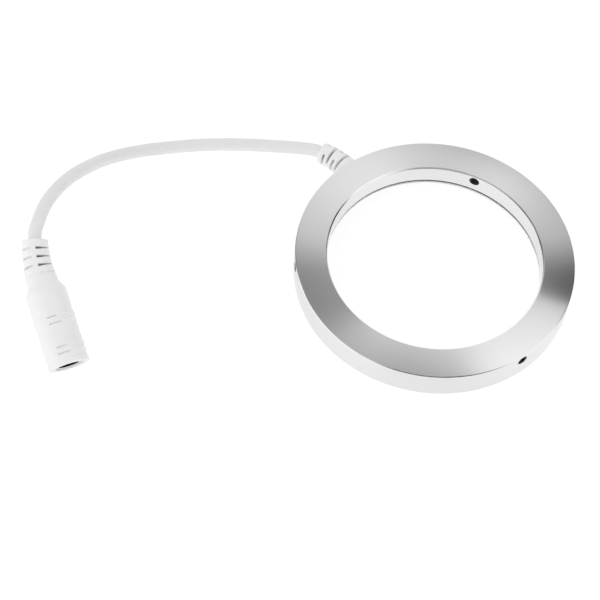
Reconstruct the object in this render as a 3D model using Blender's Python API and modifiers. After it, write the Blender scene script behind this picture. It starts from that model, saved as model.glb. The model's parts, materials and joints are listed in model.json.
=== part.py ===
"""Microscope ring light: a turned aluminium ring with its light underneath, three set screws that
grip a microscope's nose, and a short white lead that ends in a female low-voltage connector.

The ring stands on the XY plane with its axis on Z. The camera side of the object is -Y.
Lengths are in metres and angles in degrees.
"""
import math

import bmesh
import bpy
import numpy as np
from mathutils import Matrix, Vector

# Housing, turned from one piece: a solid roof with a channel for the light below it
RING_BORE_RADIUS = 0.030
RING_WIDTH = 0.009
ROOF_THICKNESS = 0.0043
CHANNEL_DEPTH = 0.0047
RING_EDGE_CHAMFER = 0.00025
OUTER_WALL_THICKNESS = 0.0023
# The inner wall hangs from the roof and ends above the surface that the ring stands on
INNER_WALL_THICKNESS = 0.0012
INNER_WALL_DROP = 0.0017
SEAT_DEPTH = 0.0008
SEAT_HEIGHT = 0.0016

# Gaps: between pieces that touch, and between a soldered piece and its board
SEAT_GAP = 0.0003
SOLDER_GAP = 0.00015
# How far a cutter reaches past what it cuts
OVERRUN = 0.002
# Points closer than this are one point
MERGE_DISTANCE = 0.00001
# Edges sharper than this angle stay sharp in the shading
SHARP_ANGLE = 35.0

# Three set screws, radial, the same angle apart, half way up the roof
SCREW_COUNT = 3
SCREW_FIRST_ANGLE = 70.0
SCREW_RADIUS = 0.00135
SCREW_HOLE_CLEARANCE = 0.00025
SCREW_CHAMFER = 0.0003
# How far a screw's ends lie inside the bore's wall and inside the outer wall
SCREW_INNER_RECESS = 0.001
SCREW_OUTER_RECESS = 0.002
SCREW_SOCKET_WIDTH = 0.0015
SCREW_SOCKET_DEPTH = 0.002

# Circuit board and what it carries
BOARD_THICKNESS = 0.0008
BOARD_EDGE_CLEARANCE = 0.0003
LED_COUNT = 24
LED_LENGTH = 0.0035
LED_WIDTH = 0.0028
LED_HEIGHT = 0.0007
LED_RIM = 0.0004
LED_POCKET_DEPTH = 0.0002
LEDS_PER_STRING = 3
RESISTOR_LENGTH = 0.002
RESISTOR_WIDTH = 0.00125
RESISTOR_HEIGHT = 0.0005
RESISTOR_BEVEL = 0.0001

# Frosted cover: a flat rim under the inner wall, then a cone down to the seat in the outer wall
DIFFUSER_THICKNESS = 0.0008
DIFFUSER_BORE_MARGIN = 0.00015

# Where the cord leaves the housing
EXIT_ANGLE = 131.5
EXIT_HEIGHT = 0.0045
RELIEF_NECK_RADIUS = 0.0023
# The pocket above the board, for the wires and their joints, is a little wider and higher than the hole
POCKET_MARGIN = 0.0001
WIRE_RADIUS = 0.0005
WIRE_LENGTH = 0.0027
WIRE_SPACING = 0.0018
SOLDER_RADIUS = 0.0006
SOLDER_HEIGHT = 0.0005

# Cord
CORD_RADIUS = 0.00185
CORD_POINT_SPACING = 0.0085

# Slotted strain relief on the housing; it bends sideways and droops towards the cord
RELIEF_LENGTH = 0.0103
RELIEF_ROOT_RADIUS = 0.0035
RELIEF_TIP_RADIUS = 0.0031
RELIEF_EDGE_ROUND = 0.0009
RELIEF_CORE_RADIUS = 0.002
RELIEF_SLOT_WIDTH = 0.0008
RELIEF_FIRST_SLOT = 0.00275
RELIEF_SLOT_PITCH = 0.00187
RELIEF_SLOT_COUNT = 4
# The slots over the top and bottom reach further round than those on the sides
RELIEF_TOP_SLOT_SWEEP = 150.0
RELIEF_SIDE_SLOT_SWEEP = 120.0
RELIEF_ROLL = -8.0
RELIEF_TIP_HEADING = 157.0
RELIEF_TIP_RISE = -4.0

# Female connector, measured from its mouth along its axis to the end of its own strain relief
JACK_BODY_WALL = 0.00165
JACK_BODY_LENGTH = 0.0204
JACK_RIM_STEP = 0.00015
JACK_RIM_WIDTH = 0.0013
JACK_RIM_ROUND = 0.0004
JACK_BEAD_HEIGHT = 0.00025
JACK_BEAD_WIDTH = 0.0009
JACK_BEAD_FIRST = 0.0031
JACK_BEAD_PITCH = 0.0018
JACK_BEAD_PAIR_PITCH = 0.0083
JACK_NECK_RADIUS = 0.0043
JACK_SHOULDER_LENGTH = 0.0031
JACK_TAIL_RADIUS = 0.0035
JACK_TAIL_ROUND = 0.00025
JACK_LENGTH = 0.0356
JACK_BEND_START = 0.0241
JACK_SLOT_WIDTH = 0.0008
JACK_SLOT_FIRST_FROM_TAIL = 0.0026
JACK_SLOT_PITCH = 0.00245
JACK_SLOT_COUNT = 3
JACK_SLOT_SWEEP = 158.0
JACK_CORE_RADIUS = 0.0021
JACK_ROLL = -14.5
JACK_MOUTH_X = -0.09549
JACK_MOUTH_Y = -0.04442
JACK_HEADING = 116.1
JACK_RISE = 20.5
JACK_TAIL_HEADING = 99.1
JACK_TAIL_RISE = 25.0
JACK_FLOOR_GAP = 0.00002

# Inside the connector: insulator with its socket, centre pin, and the spring that touches the plug's sleeve
SOCKET_RADIUS = 0.00275
SOCKET_DEPTH = 0.0095
SOCKET_LEAD_IN = 0.0003
INSULATOR_LIP = 0.00055
INSULATOR_FLOOR = 0.0018
INSULATOR_RECESS = 0.0007
PIN_RADIUS = 0.00098
PIN_RECESS = 0.0008
PIN_TIP_ROUND = 0.0004
SPRING_WIDTH = 0.0012
SPRING_THICKNESS = 0.00025
SPRING_LENGTH = 0.0065
SPRING_BOW = 0.00035

# Number of facets around turned pieces, and degrees from point to point along a slot
RING_FACETS = 96
SLEEVE_FACETS = 32
SMALL_FACETS = 16
SLOT_ARC_STEP = 12.0
# Straight pieces along the two tapered sleeves and the bowed spring, and points read per cord span
RELIEF_TAPER_STEPS = 8
JACK_TAPER_STEPS = 9
SPRING_STEPS = 6
CORD_SPAN_POINTS = 20

# Outline of the connector's shoulder: how far out and how far down, as shares of its step and length
shoulder_shares = [(0.18, 0.3), (0.5, 0.55), (0.82, 0.75), (1.0, 1.0)]
# Outline of a bead: places along it and height, as shares of its width and height
bead_shares = [(0.5, 0.0), (0.2, 1.0), (-0.2, 1.0), (-0.5, 0.0)]
# Outline of a solder joint: distance from its middle and height, as shares of its radius and height
solder_shares = [(0.0, 1.0), (0.5, 0.9), (0.85, 0.5), (1.0, 0.0), (0.0, 0.0)]

# The cord's route from the housing to the connector, chosen by hand
CORD_ROUTE = [
    (-0.0402, 0.0366, 0.00345),
    (-0.0453, 0.0371, 0.0026),
    (-0.0503, 0.0373, 0.00203),
    (-0.0555, 0.0371, 0.00187),
    (-0.0609, 0.0366, 0.00187),
    (-0.0662, 0.0359, 0.00187),
    (-0.0715, 0.0349, 0.0019),
    (-0.0766, 0.0334, 0.00228),
    (-0.0815, 0.0314, 0.00327),
    (-0.0860, 0.0288, 0.00489),
    (-0.0898, 0.0257, 0.00704),
    (-0.0931, 0.0222, 0.00953),
    (-0.0959, 0.0185, 0.01214),
    (-0.0984, 0.0145, 0.01473),
    (-0.1008, 0.0103, 0.01715),
    (-0.1031, 0.0059, 0.01915),
    (-0.1053, 0.0011, 0.02045),
    (-0.1072, -0.0039, 0.0208),
    (-0.1084, -0.0091, 0.02001),
]

# Worked out from the sizes above
ring_outer_radius = RING_BORE_RADIUS + RING_WIDTH
ring_height = CHANNEL_DEPTH + ROOF_THICKNESS
inner_wall_bottom = CHANNEL_DEPTH - INNER_WALL_DROP
channel_inner_radius = RING_BORE_RADIUS + INNER_WALL_THICKNESS
channel_outer_radius = ring_outer_radius - OUTER_WALL_THICKNESS
channel_middle_radius = (channel_inner_radius + channel_outer_radius) / 2
seat_radius = channel_outer_radius + SEAT_DEPTH
screw_height = CHANNEL_DEPTH + ROOF_THICKNESS / 2
screw_length = RING_WIDTH - SCREW_INNER_RECESS - SCREW_OUTER_RECESS
screw_hole_radius = SCREW_RADIUS + SCREW_HOLE_CLEARANCE
board_top = CHANNEL_DEPTH - SEAT_GAP
board_bottom = board_top - BOARD_THICKNESS
# Along the cord's exit, counted from the outer wall: negative is inside the ring
exit_hole_radius = RELIEF_NECK_RADIUS + SEAT_GAP
relief_inner_end = SEAT_GAP / 2 - OUTER_WALL_THICKNESS
wire_start = relief_inner_end - SEAT_GAP
wire_end = wire_start - WIRE_LENGTH
solder_middle = wire_end - SOLDER_GAP - SOLDER_RADIUS
pocket_end = solder_middle - SOLDER_RADIUS - POCKET_MARGIN
# Inside the connector, counted from its mouth
insulator_radius = SOCKET_RADIUS + SOCKET_LEAD_IN + INSULATOR_LIP
socket_floor = INSULATOR_RECESS + SOCKET_DEPTH
insulator_end = socket_floor + INSULATOR_FLOOR
jack_bore_radius = insulator_radius + SEAT_GAP
jack_body_radius = jack_bore_radius + JACK_BODY_WALL
jack_rim_radius = jack_body_radius + JACK_RIM_STEP

object_parts = None
cutters = None


def clear_scene():
    for obj in list(bpy.data.objects):
        bpy.data.objects.remove(obj, do_unlink=True)


def new_collection(name):
    collection = bpy.data.collections.new(name)
    bpy.context.scene.collection.children.link(collection)
    return collection


def make_material(name, colour, roughness, metallic=0.0):
    material = bpy.data.materials.new(name)
    material.use_nodes = True
    shader = material.node_tree.nodes["Principled BSDF"]
    shader.inputs["Base Color"].default_value = (*colour, 1.0)
    shader.inputs["Roughness"].default_value = roughness
    shader.inputs["Metallic"].default_value = metallic
    material.diffuse_color = (*colour, 1.0)
    return material


def add_object(name, data, material=None, collection=None):
    """A named object for a mesh or curve, linked to the collection of the object's parts."""
    obj = bpy.data.objects.new(name, data)
    (collection or object_parts).objects.link(obj)
    if material:
        data.materials.append(material)
    return obj


def as_cutter(obj):
    obj.hide_render = True
    obj.display_type = "WIRE"
    return obj


def shade(mesh):
    mesh.shade_smooth()
    mesh.set_sharp_from_angle(angle=math.radians(SHARP_ANGLE))


def settle(obj):
    """Replaces an object's data by its evaluated mesh, caps welded, with no modifiers left."""
    bpy.context.view_layer.update()
    evaluated = obj.evaluated_get(bpy.context.evaluated_depsgraph_get())
    mesh = bpy.data.meshes.new_from_object(evaluated)
    if obj.type == "CURVE":
        solid = bmesh.new()
        solid.from_mesh(mesh)
        bmesh.ops.remove_doubles(solid, verts=solid.verts, dist=MERGE_DISTANCE)
        solid.to_mesh(mesh)
        solid.free()
    name = obj.name
    matrix = obj.matrix_world.copy()
    collection = obj.users_collection[0]
    bpy.data.objects.remove(obj, do_unlink=True)
    settled = bpy.data.objects.new(name, mesh)
    settled.matrix_world = matrix
    collection.objects.link(settled)
    return settled


def turned(name, profile, facets, material=None, collection=None, closed=False):
    """A turned piece: the profile's points are (radius, height), down the outer side from the top."""
    mesh = bpy.data.meshes.new(name)
    edges = [(i, i + 1) for i in range(len(profile) - 1)]
    if closed:
        edges.append((len(profile) - 1, 0))
    mesh.from_pydata([(radius, 0, height) for radius, height in profile], edges, [])
    obj = add_object(name, mesh, material, collection)
    screw = obj.modifiers.new("turn", "SCREW")
    screw.axis = "Z"
    screw.steps = facets
    screw.render_steps = facets
    screw.use_merge_vertices = True
    screw.merge_threshold = MERGE_DISTANCE
    return obj


def cylinder_cutter(name, radius, length, facets=SMALL_FACETS):
    """A cylinder along Z from the origin up."""
    mesh = bpy.data.meshes.new(name)
    solid = bmesh.new()
    move = Matrix.Translation((0, 0, length / 2))
    bmesh.ops.create_cone(solid, cap_ends=True, segments=facets, radius1=radius, radius2=radius,
                          depth=length, matrix=move)
    solid.to_mesh(mesh)
    solid.free()
    return as_cutter(add_object(name, mesh, collection=cutters))


def box_mesh(name, size):
    """A box centred on the origin."""
    mesh = bpy.data.meshes.new(name)
    solid = bmesh.new()
    bmesh.ops.create_cube(solid, size=1, matrix=Matrix.Diagonal((*size, 1)))
    solid.to_mesh(mesh)
    solid.free()
    return mesh


def sector_cutter(name, inner, outer, width, middle_angle, sweep):
    """Part of a flat ring, across Z: it cuts a slot around a sleeve, centred on the middle angle."""
    arc_points = round(sweep / SLOT_ARC_STEP)
    half = math.radians(sweep) / 2
    middle = math.radians(middle_angle)
    angles = [middle - half + 2 * half * i / arc_points for i in range(arc_points + 1)]
    outline = [(outer * math.cos(a), outer * math.sin(a)) for a in angles]
    outline += [(inner * math.cos(a), inner * math.sin(a)) for a in reversed(angles)]
    curve = bpy.data.curves.new(name, "CURVE")
    curve.dimensions = "2D"
    curve.fill_mode = "BOTH"
    curve.extrude = width / 2
    spline = curve.splines.new("POLY")
    spline.points.add(len(outline) - 1)
    for point, (x, y) in zip(spline.points, outline):
        point.co = (x, y, 0, 1)
    spline.use_cyclic_u = True
    return as_cutter(settle(add_object(name, curve, collection=cutters)))


def cut(obj, cutter):
    boolean = obj.modifiers.new("cut " + cutter.name, "BOOLEAN")
    boolean.operation = "DIFFERENCE"
    boolean.solver = "EXACT"
    boolean.object = cutter


def tube(name, points, radius, material):
    """A round tube through the points, with closed ends."""
    curve = bpy.data.curves.new(name, "CURVE")
    curve.dimensions = "3D"
    curve.bevel_depth = radius
    curve.bevel_resolution = 2
    curve.use_fill_caps = True
    spline = curve.splines.new("POLY")
    spline.points.add(len(points) - 1)
    for point, place in zip(spline.points, points):
        point.co = (*place, 1)
    return add_object(name, curve, material)


def bearing(heading, rise=0.0):
    """Unit vector that points along a heading in plan, counted from +X, and up by the rise."""
    flat = math.cos(math.radians(rise))
    return Vector((math.cos(math.radians(heading)) * flat, math.sin(math.radians(heading)) * flat,
                   math.sin(math.radians(rise))))


def axis_frame(place, direction):
    """Matrix of a piece whose local Z runs along the direction and whose local Y leans up."""
    side = Vector((0, 0, 1)).cross(direction).normalized()
    lean = direction.cross(side)
    return Matrix.Translation(place) @ Matrix((side, lean, direction)).transposed().to_4x4()


def bend_of(frame, end_direction):
    """Local side towards which an axis has to turn to reach a world direction, and by how much."""
    local = frame.to_3x3().transposed() @ end_direction
    return Vector((local.x, local.y, 0)).normalized(), math.acos(local.z)


def bent_point(point, start, length, side, angle):
    """A point of a straight sleeve along Z, after the sleeve bends from start on by the angle."""
    run = point.z - start
    if run <= 0:
        return point.copy()
    on_arc = min(run, length)
    turn = angle * on_arc / length
    radius = length / angle
    centre = side * (radius * (1 - math.cos(turn))) + Vector((0, 0, start + radius * math.sin(turn)))
    centre += (side * math.sin(turn) + Vector((0, 0, math.cos(turn)))) * (run - on_arc)
    flat = Vector((point.x, point.y, 0))
    along = flat.dot(side)
    return centre + flat + side * (along * (math.cos(turn) - 1)) - Vector((0, 0, along * math.sin(turn)))


def bend_sleeve(obj, start, length, side, angle):
    for vertex in obj.data.vertices:
        vertex.co = bent_point(vertex.co, start, length, side, angle)


def taper(radius_from, height_from, radius_to, height_to, count):
    """Points down a straight taper, both ends included."""
    return [(radius_from + (radius_to - radius_from) * i / count,
             height_from + (height_to - height_from) * i / count) for i in range(count + 1)]


def smooth_route(points, start_direction, end_direction, spacing):
    """Points about a spacing apart on the cubic curve through the route."""
    knots = np.array([tuple(p) for p in points])
    chord = np.linalg.norm(np.diff(knots, axis=0), axis=1)
    count = len(knots)
    system = np.zeros((count, count))
    right = np.zeros((count, 3))
    system[0, 0] = 1
    system[-1, -1] = 1
    right[0] = start_direction
    right[-1] = end_direction
    for i in range(1, count - 1):
        before = chord[i - 1]
        after = chord[i]
        system[i, i - 1:i + 2] = after, 2 * (before + after), before
        slope_before = (knots[i] - knots[i - 1]) / before
        slope_after = (knots[i + 1] - knots[i]) / after
        right[i] = 3 * (after * slope_before + before * slope_after)
    slopes = np.linalg.solve(system, right)
    fine = []
    for i in range(count - 1):
        for t in np.linspace(0, 1, CORD_SPAN_POINTS, endpoint=i == count - 2):
            place = (2 * t ** 3 - 3 * t ** 2 + 1) * knots[i] + (3 * t ** 2 - 2 * t ** 3) * knots[i + 1]
            lean = (t ** 3 - 2 * t ** 2 + t) * slopes[i] + (t ** 3 - t ** 2) * slopes[i + 1]
            fine.append(place + lean * chord[i])
    fine = np.array(fine)
    along = np.concatenate(([0], np.cumsum(np.linalg.norm(np.diff(fine, axis=0), axis=1))))
    steps = max(2, round(along[-1] / spacing))
    places = np.linspace(0, along[-1], steps + 1)
    return [Vector([np.interp(place, along, fine[:, k]) for k in range(3)]) for place in places]


def screw_angles():
    return [SCREW_FIRST_ANGLE + i * 360 / SCREW_COUNT for i in range(SCREW_COUNT)]


def exit_frame():
    """The cord's exit: the origin lies on the outer wall, local Z runs outward and local Y up."""
    start = bearing(EXIT_ANGLE) * ring_outer_radius
    start.z = EXIT_HEIGHT
    return axis_frame(start, bearing(EXIT_ANGLE))


def build_housing(material):
    edge = RING_EDGE_CHAMFER
    profile = [
        (ring_outer_radius, ring_height - edge),
        (ring_outer_radius, edge),
        (ring_outer_radius - edge, 0),
        (seat_radius, 0),
        (seat_radius, SEAT_HEIGHT),
        (channel_outer_radius, SEAT_HEIGHT),
        (channel_outer_radius, CHANNEL_DEPTH),
        (channel_inner_radius, CHANNEL_DEPTH),
        (channel_inner_radius, inner_wall_bottom),
        (RING_BORE_RADIUS + edge, inner_wall_bottom),
        (RING_BORE_RADIUS, inner_wall_bottom + edge),
        (RING_BORE_RADIUS, ring_height - edge),
        (RING_BORE_RADIUS + edge, ring_height),
        (ring_outer_radius - edge, ring_height),
    ]
    housing = turned("ring_housing", profile, RING_FACETS, material, closed=True)
    for number, angle in enumerate(screw_angles(), start=1):
        hole = cylinder_cutter(f"screw_hole_{number}", screw_hole_radius, RING_WIDTH + 2 * OVERRUN)
        start = bearing(angle) * (RING_BORE_RADIUS - OVERRUN)
        start.z = screw_height
        hole.matrix_world = axis_frame(start, bearing(angle))
        cut(housing, hole)
    frame = exit_frame()
    exit_hole = cylinder_cutter("exit_hole", exit_hole_radius, OUTER_WALL_THICKNESS + 2 * OVERRUN,
                                SLEEVE_FACETS)
    exit_hole.matrix_world = frame @ Matrix.Translation((0, 0, -OUTER_WALL_THICKNESS - OVERRUN))
    cut(housing, exit_hole)
    pocket_top = exit_hole_radius + POCKET_MARGIN
    pocket_bottom = board_bottom - EXIT_HEIGHT
    pocket_start = SEAT_GAP - OUTER_WALL_THICKNESS
    pocket_size = (2 * pocket_top, pocket_top - pocket_bottom, pocket_start - pocket_end)
    pocket = as_cutter(add_object("wire_pocket", box_mesh("wire_pocket", pocket_size), collection=cutters))
    pocket_middle = (0, (pocket_top + pocket_bottom) / 2, (pocket_start + pocket_end) / 2)
    pocket.matrix_world = frame @ Matrix.Translation(pocket_middle)
    cut(housing, pocket)


def build_set_screws(material):
    """Each screw's own Z runs outward on its hole's axis, with the hexagon socket at the outer end."""
    half = screw_length / 2
    edge = SCREW_CHAMFER
    profile = [(0, half), (SCREW_RADIUS - edge, half), (SCREW_RADIUS, half - edge),
               (SCREW_RADIUS, edge - half), (SCREW_RADIUS - edge, -half), (0, -half)]
    corner_radius = SCREW_SOCKET_WIDTH / 2 / math.cos(math.radians(30))
    for number, angle in enumerate(screw_angles(), start=1):
        screw = turned(f"grub_screw_{number}", profile, SMALL_FACETS, material)
        middle = bearing(angle) * (RING_BORE_RADIUS + SCREW_INNER_RECESS + half)
        middle.z = screw_height
        screw.matrix_world = axis_frame(middle, bearing(angle))
        socket = cylinder_cutter(f"screw_socket_{number}", corner_radius, SCREW_SOCKET_DEPTH + OVERRUN, 6)
        socket.matrix_world = screw.matrix_world @ Matrix.Translation((0, 0, half - SCREW_SOCKET_DEPTH))
        cut(screw, socket)


def build_board(material):
    inner = channel_inner_radius + BOARD_EDGE_CLEARANCE
    outer = channel_outer_radius - BOARD_EDGE_CLEARANCE
    profile = [(outer, board_top), (outer, board_bottom), (inner, board_bottom), (inner, board_top)]
    turned("led_board", profile, RING_FACETS, material, closed=True)


def led_mesh():
    """A lamp package, light side down, with the shallow pocket that holds its phosphor."""
    mesh = box_mesh("led", (LED_WIDTH, LED_LENGTH, LED_HEIGHT))
    solid = bmesh.new()
    solid.from_mesh(mesh)
    light_side = min(solid.faces, key=lambda face: face.normal.z)
    bmesh.ops.inset_region(solid, faces=[light_side], thickness=LED_RIM, use_boundary=True)
    floor = bmesh.ops.extrude_face_region(solid, geom=[light_side])
    corners = [item for item in floor["geom"] if isinstance(item, bmesh.types.BMVert)]
    bmesh.ops.translate(solid, vec=(0, 0, LED_POCKET_DEPTH), verts=corners)
    bmesh.ops.delete(solid, geom=[light_side], context="FACES")
    solid.to_mesh(mesh)
    solid.free()
    return mesh


def place_on_board(name, mesh, radius, angle, height, material):
    """Hangs a small package under the board, its own X pointing outward."""
    obj = add_object(name, mesh)
    if not mesh.materials:
        mesh.materials.append(material)
    obj.location = bearing(angle) * radius + Vector((0, 0, board_bottom - SOLDER_GAP - height / 2))
    obj.rotation_euler = (0, 0, math.radians(angle))
    return obj


def build_lamps(led_material, resistor_material):
    step = 360 / LED_COUNT
    first = EXIT_ANGLE + step / 2
    package = led_mesh()
    for number in range(LED_COUNT):
        place_on_board(f"led_{number + 1:02d}", package, channel_middle_radius, first + number * step,
                       LED_HEIGHT, led_material)
    chip = box_mesh("resistor", (RESISTOR_WIDTH, RESISTOR_LENGTH, RESISTOR_HEIGHT))
    solid = bmesh.new()
    solid.from_mesh(chip)
    bmesh.ops.bevel(solid, geom=solid.edges[:], offset=RESISTOR_BEVEL, segments=1, affect="EDGES")
    solid.to_mesh(chip)
    solid.free()
    for number in range(LED_COUNT // LEDS_PER_STRING):
        angle = EXIT_ANGLE + step * (1 + number * LEDS_PER_STRING)
        place_on_board(f"resistor_{number + 1}", chip, channel_middle_radius, angle,
                       RESISTOR_HEIGHT, resistor_material)


def build_diffuser(material):
    """Its flat rim lies under the inner wall, and its outer edge in the seat of the outer wall."""
    inner = RING_BORE_RADIUS + DIFFUSER_BORE_MARGIN
    outer = seat_radius - SEAT_GAP
    rim_top = inner_wall_bottom - SEAT_GAP
    edge_top = SEAT_HEIGHT - SEAT_GAP
    profile = [
        (outer, edge_top),
        (outer, edge_top - DIFFUSER_THICKNESS),
        (channel_inner_radius, rim_top - DIFFUSER_THICKNESS),
        (inner, rim_top - DIFFUSER_THICKNESS),
        (inner, rim_top),
        (channel_inner_radius, rim_top),
    ]
    turned("diffuser_ring", profile, RING_FACETS, material, closed=True)


def slot_sleeve(sleeve, name, stations, core, reach, width):
    """Cuts two opposite slots at each station, given as (height, angle of the first, sweep)."""
    for number, (height, angle, sweep) in enumerate(stations, start=1):
        for side, turn in (("a", 0), ("b", 180)):
            cutter = sector_cutter(f"{name}_{number}{side}", core, reach, width, angle + turn, sweep)
            cutter.location = (0, 0, height)
            cut(sleeve, cutter)


def build_ring_relief(material):
    """Returns the middle of the sleeve's tip, where the cord begins."""
    frame = exit_frame()
    tip = RELIEF_TIP_RADIUS
    edge = RELIEF_EDGE_ROUND
    profile = [(0, RELIEF_LENGTH), (tip - edge, RELIEF_LENGTH)]
    profile += taper(tip, RELIEF_LENGTH - edge, RELIEF_ROOT_RADIUS, SEAT_GAP, RELIEF_TAPER_STEPS)
    profile += [(RELIEF_NECK_RADIUS, SEAT_GAP), (RELIEF_NECK_RADIUS, relief_inner_end),
                (0, relief_inner_end)]
    sleeve = turned("ring_strain_relief", profile, SLEEVE_FACETS, material)
    stations = []
    for number in range(RELIEF_SLOT_COUNT):
        height = RELIEF_FIRST_SLOT + number * RELIEF_SLOT_PITCH
        if number % 2 == 0:
            stations.append((height, RELIEF_ROLL + 90, RELIEF_TOP_SLOT_SWEEP))
        else:
            stations.append((height, RELIEF_ROLL, RELIEF_SIDE_SLOT_SWEEP))
    slot_sleeve(sleeve, "relief_slot", stations, RELIEF_CORE_RADIUS, RELIEF_ROOT_RADIUS + OVERRUN,
                RELIEF_SLOT_WIDTH)
    sleeve = settle(sleeve)
    side, angle = bend_of(frame, bearing(RELIEF_TIP_HEADING, RELIEF_TIP_RISE))
    bend_sleeve(sleeve, 0, RELIEF_LENGTH, side, angle)
    sleeve.matrix_world = frame
    shade(sleeve.data)
    return frame @ bent_point(Vector((0, 0, RELIEF_LENGTH)), 0, RELIEF_LENGTH, side, angle)


def build_wires(wire_materials, solder_material):
    """Two cores run from the sleeve's inner end over the board to their soldered joints."""
    frame = exit_frame()
    board_level = board_top - EXIT_HEIGHT
    height = board_level + SOLDER_GAP + WIRE_RADIUS
    dome = [(SOLDER_RADIUS * out_share, SOLDER_HEIGHT * up_share) for out_share, up_share in solder_shares]
    for name, across in (("positive", WIRE_SPACING / 2), ("negative", -WIRE_SPACING / 2)):
        ends = [(across, height, wire_start), (across, height, wire_end)]
        wire = tube(f"wire_{name}", ends, WIRE_RADIUS, wire_materials[name])
        wire.matrix_world = frame
        joint = turned(f"solder_{name}", dome, SMALL_FACETS, solder_material)
        joint.location = frame @ Vector((across, board_level + SOLDER_GAP, solder_middle))


def jack_outline():
    """The connector's outer profile from the end of its sleeve down to the rim of its mouth."""
    edge = JACK_TAIL_ROUND
    shoulder_top = JACK_BODY_LENGTH + JACK_SHOULDER_LENGTH
    profile = [(0, JACK_LENGTH), (JACK_TAIL_RADIUS - edge, JACK_LENGTH)]
    profile += taper(JACK_TAIL_RADIUS, JACK_LENGTH - edge, JACK_NECK_RADIUS, shoulder_top, JACK_TAPER_STEPS)
    step = jack_body_radius - JACK_NECK_RADIUS
    for out_share, down_share in shoulder_shares:
        profile.append((JACK_NECK_RADIUS + step * out_share,
                        shoulder_top - JACK_SHOULDER_LENGTH * down_share))
    for pair in (JACK_BEAD_FIRST + JACK_BEAD_PAIR_PITCH, JACK_BEAD_FIRST):
        for middle in (pair + JACK_BEAD_PITCH, pair):
            for along_share, out_share in bead_shares:
                profile.append((jack_body_radius + JACK_BEAD_HEIGHT * out_share,
                                middle + JACK_BEAD_WIDTH * along_share))
    profile += [(jack_body_radius, JACK_RIM_WIDTH + JACK_RIM_ROUND / 2), (jack_rim_radius, JACK_RIM_WIDTH),
                (jack_rim_radius, JACK_RIM_ROUND), (jack_rim_radius - JACK_RIM_ROUND, 0)]
    return profile


def build_connector(white, insulator_material, pin_material, spring_material):
    """It leans on the edge of its mouth. Returns the middle of the sleeve's end, where the cord arrives."""
    rise = math.radians(JACK_RISE)
    lift = jack_rim_radius * math.cos(rise) - JACK_RIM_ROUND * math.sin(rise) + JACK_FLOOR_GAP
    frame = axis_frame(Vector((JACK_MOUTH_X, JACK_MOUTH_Y, lift)), bearing(JACK_HEADING, JACK_RISE))
    holder = bpy.data.objects.new("connector_axis", None)
    object_parts.objects.link(holder)
    holder.matrix_world = frame

    bore_end = insulator_end + SEAT_GAP
    profile = jack_outline() + [(jack_bore_radius, 0), (jack_bore_radius, bore_end), (0, bore_end)]
    body = turned("jack_body", profile, SLEEVE_FACETS, white)
    stations = [(JACK_LENGTH - JACK_SLOT_FIRST_FROM_TAIL - i * JACK_SLOT_PITCH, JACK_ROLL, JACK_SLOT_SWEEP)
                for i in range(JACK_SLOT_COUNT)]
    slot_sleeve(body, "jack_slot", stations, JACK_CORE_RADIUS, JACK_NECK_RADIUS + OVERRUN,
                JACK_SLOT_WIDTH)
    body = settle(body)
    side, angle = bend_of(frame, bearing(JACK_TAIL_HEADING, JACK_TAIL_RISE))
    bend_length = JACK_LENGTH - JACK_BEND_START
    bend_sleeve(body, JACK_BEND_START, bend_length, side, angle)
    shade(body.data)
    body.parent = holder

    profile = [(0, insulator_end), (insulator_radius, insulator_end), (insulator_radius, INSULATOR_RECESS),
               (SOCKET_RADIUS + SOCKET_LEAD_IN, INSULATOR_RECESS),
               (SOCKET_RADIUS, INSULATOR_RECESS + SOCKET_LEAD_IN),
               (SOCKET_RADIUS, socket_floor), (0, socket_floor)]
    insulator = turned("jack_insulator", profile, SLEEVE_FACETS, insulator_material)
    insulator.parent = holder

    pin_start = INSULATOR_RECESS + PIN_RECESS
    profile = [(0, socket_floor - SEAT_GAP), (PIN_RADIUS, socket_floor - SEAT_GAP),
               (PIN_RADIUS, pin_start + PIN_TIP_ROUND), (PIN_RADIUS - PIN_TIP_ROUND, pin_start),
               (0, pin_start)]
    pin = turned("jack_pin", profile, SMALL_FACETS, pin_material)
    pin.parent = holder

    spring = contact_spring(socket_floor - SEAT_GAP, spring_material)
    spring.parent = holder
    return frame @ bent_point(Vector((0, 0, JACK_LENGTH)), JACK_BEND_START, bend_length, side, angle)


def contact_spring(foot, material):
    """A strip along the lower side of the socket, bowed in at its middle: it touches the plug's sleeve."""
    half_width = SPRING_WIDTH / 2
    wall = math.sqrt(SOCKET_RADIUS ** 2 - half_width ** 2) - SEAT_GAP / 2
    curve = bpy.data.curves.new("jack_contact_spring", "CURVE")
    curve.dimensions = "2D"
    curve.fill_mode = "BOTH"
    curve.extrude = half_width
    outer = []
    inner = []
    for i in range(SPRING_STEPS + 1):
        share = i / SPRING_STEPS
        across = SPRING_BOW * math.sin(math.pi * share) - wall
        outer.append((foot - SPRING_LENGTH * share, across))
        inner.append((foot - SPRING_LENGTH * share, across + SPRING_THICKNESS))
    outline = outer + inner[::-1]
    spline = curve.splines.new("POLY")
    spline.points.add(len(outline) - 1)
    for point, (along, across) in zip(spline.points, outline):
        point.co = (along, across, 0, 1)
    spline.use_cyclic_u = True
    strip = settle(add_object("jack_contact_spring", curve))
    strip.data.materials.append(material)
    # The outline's X becomes the connector's axis, and the strip's width lies across it
    strip.rotation_euler = (0, -math.pi / 2, 0)
    return strip


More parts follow.
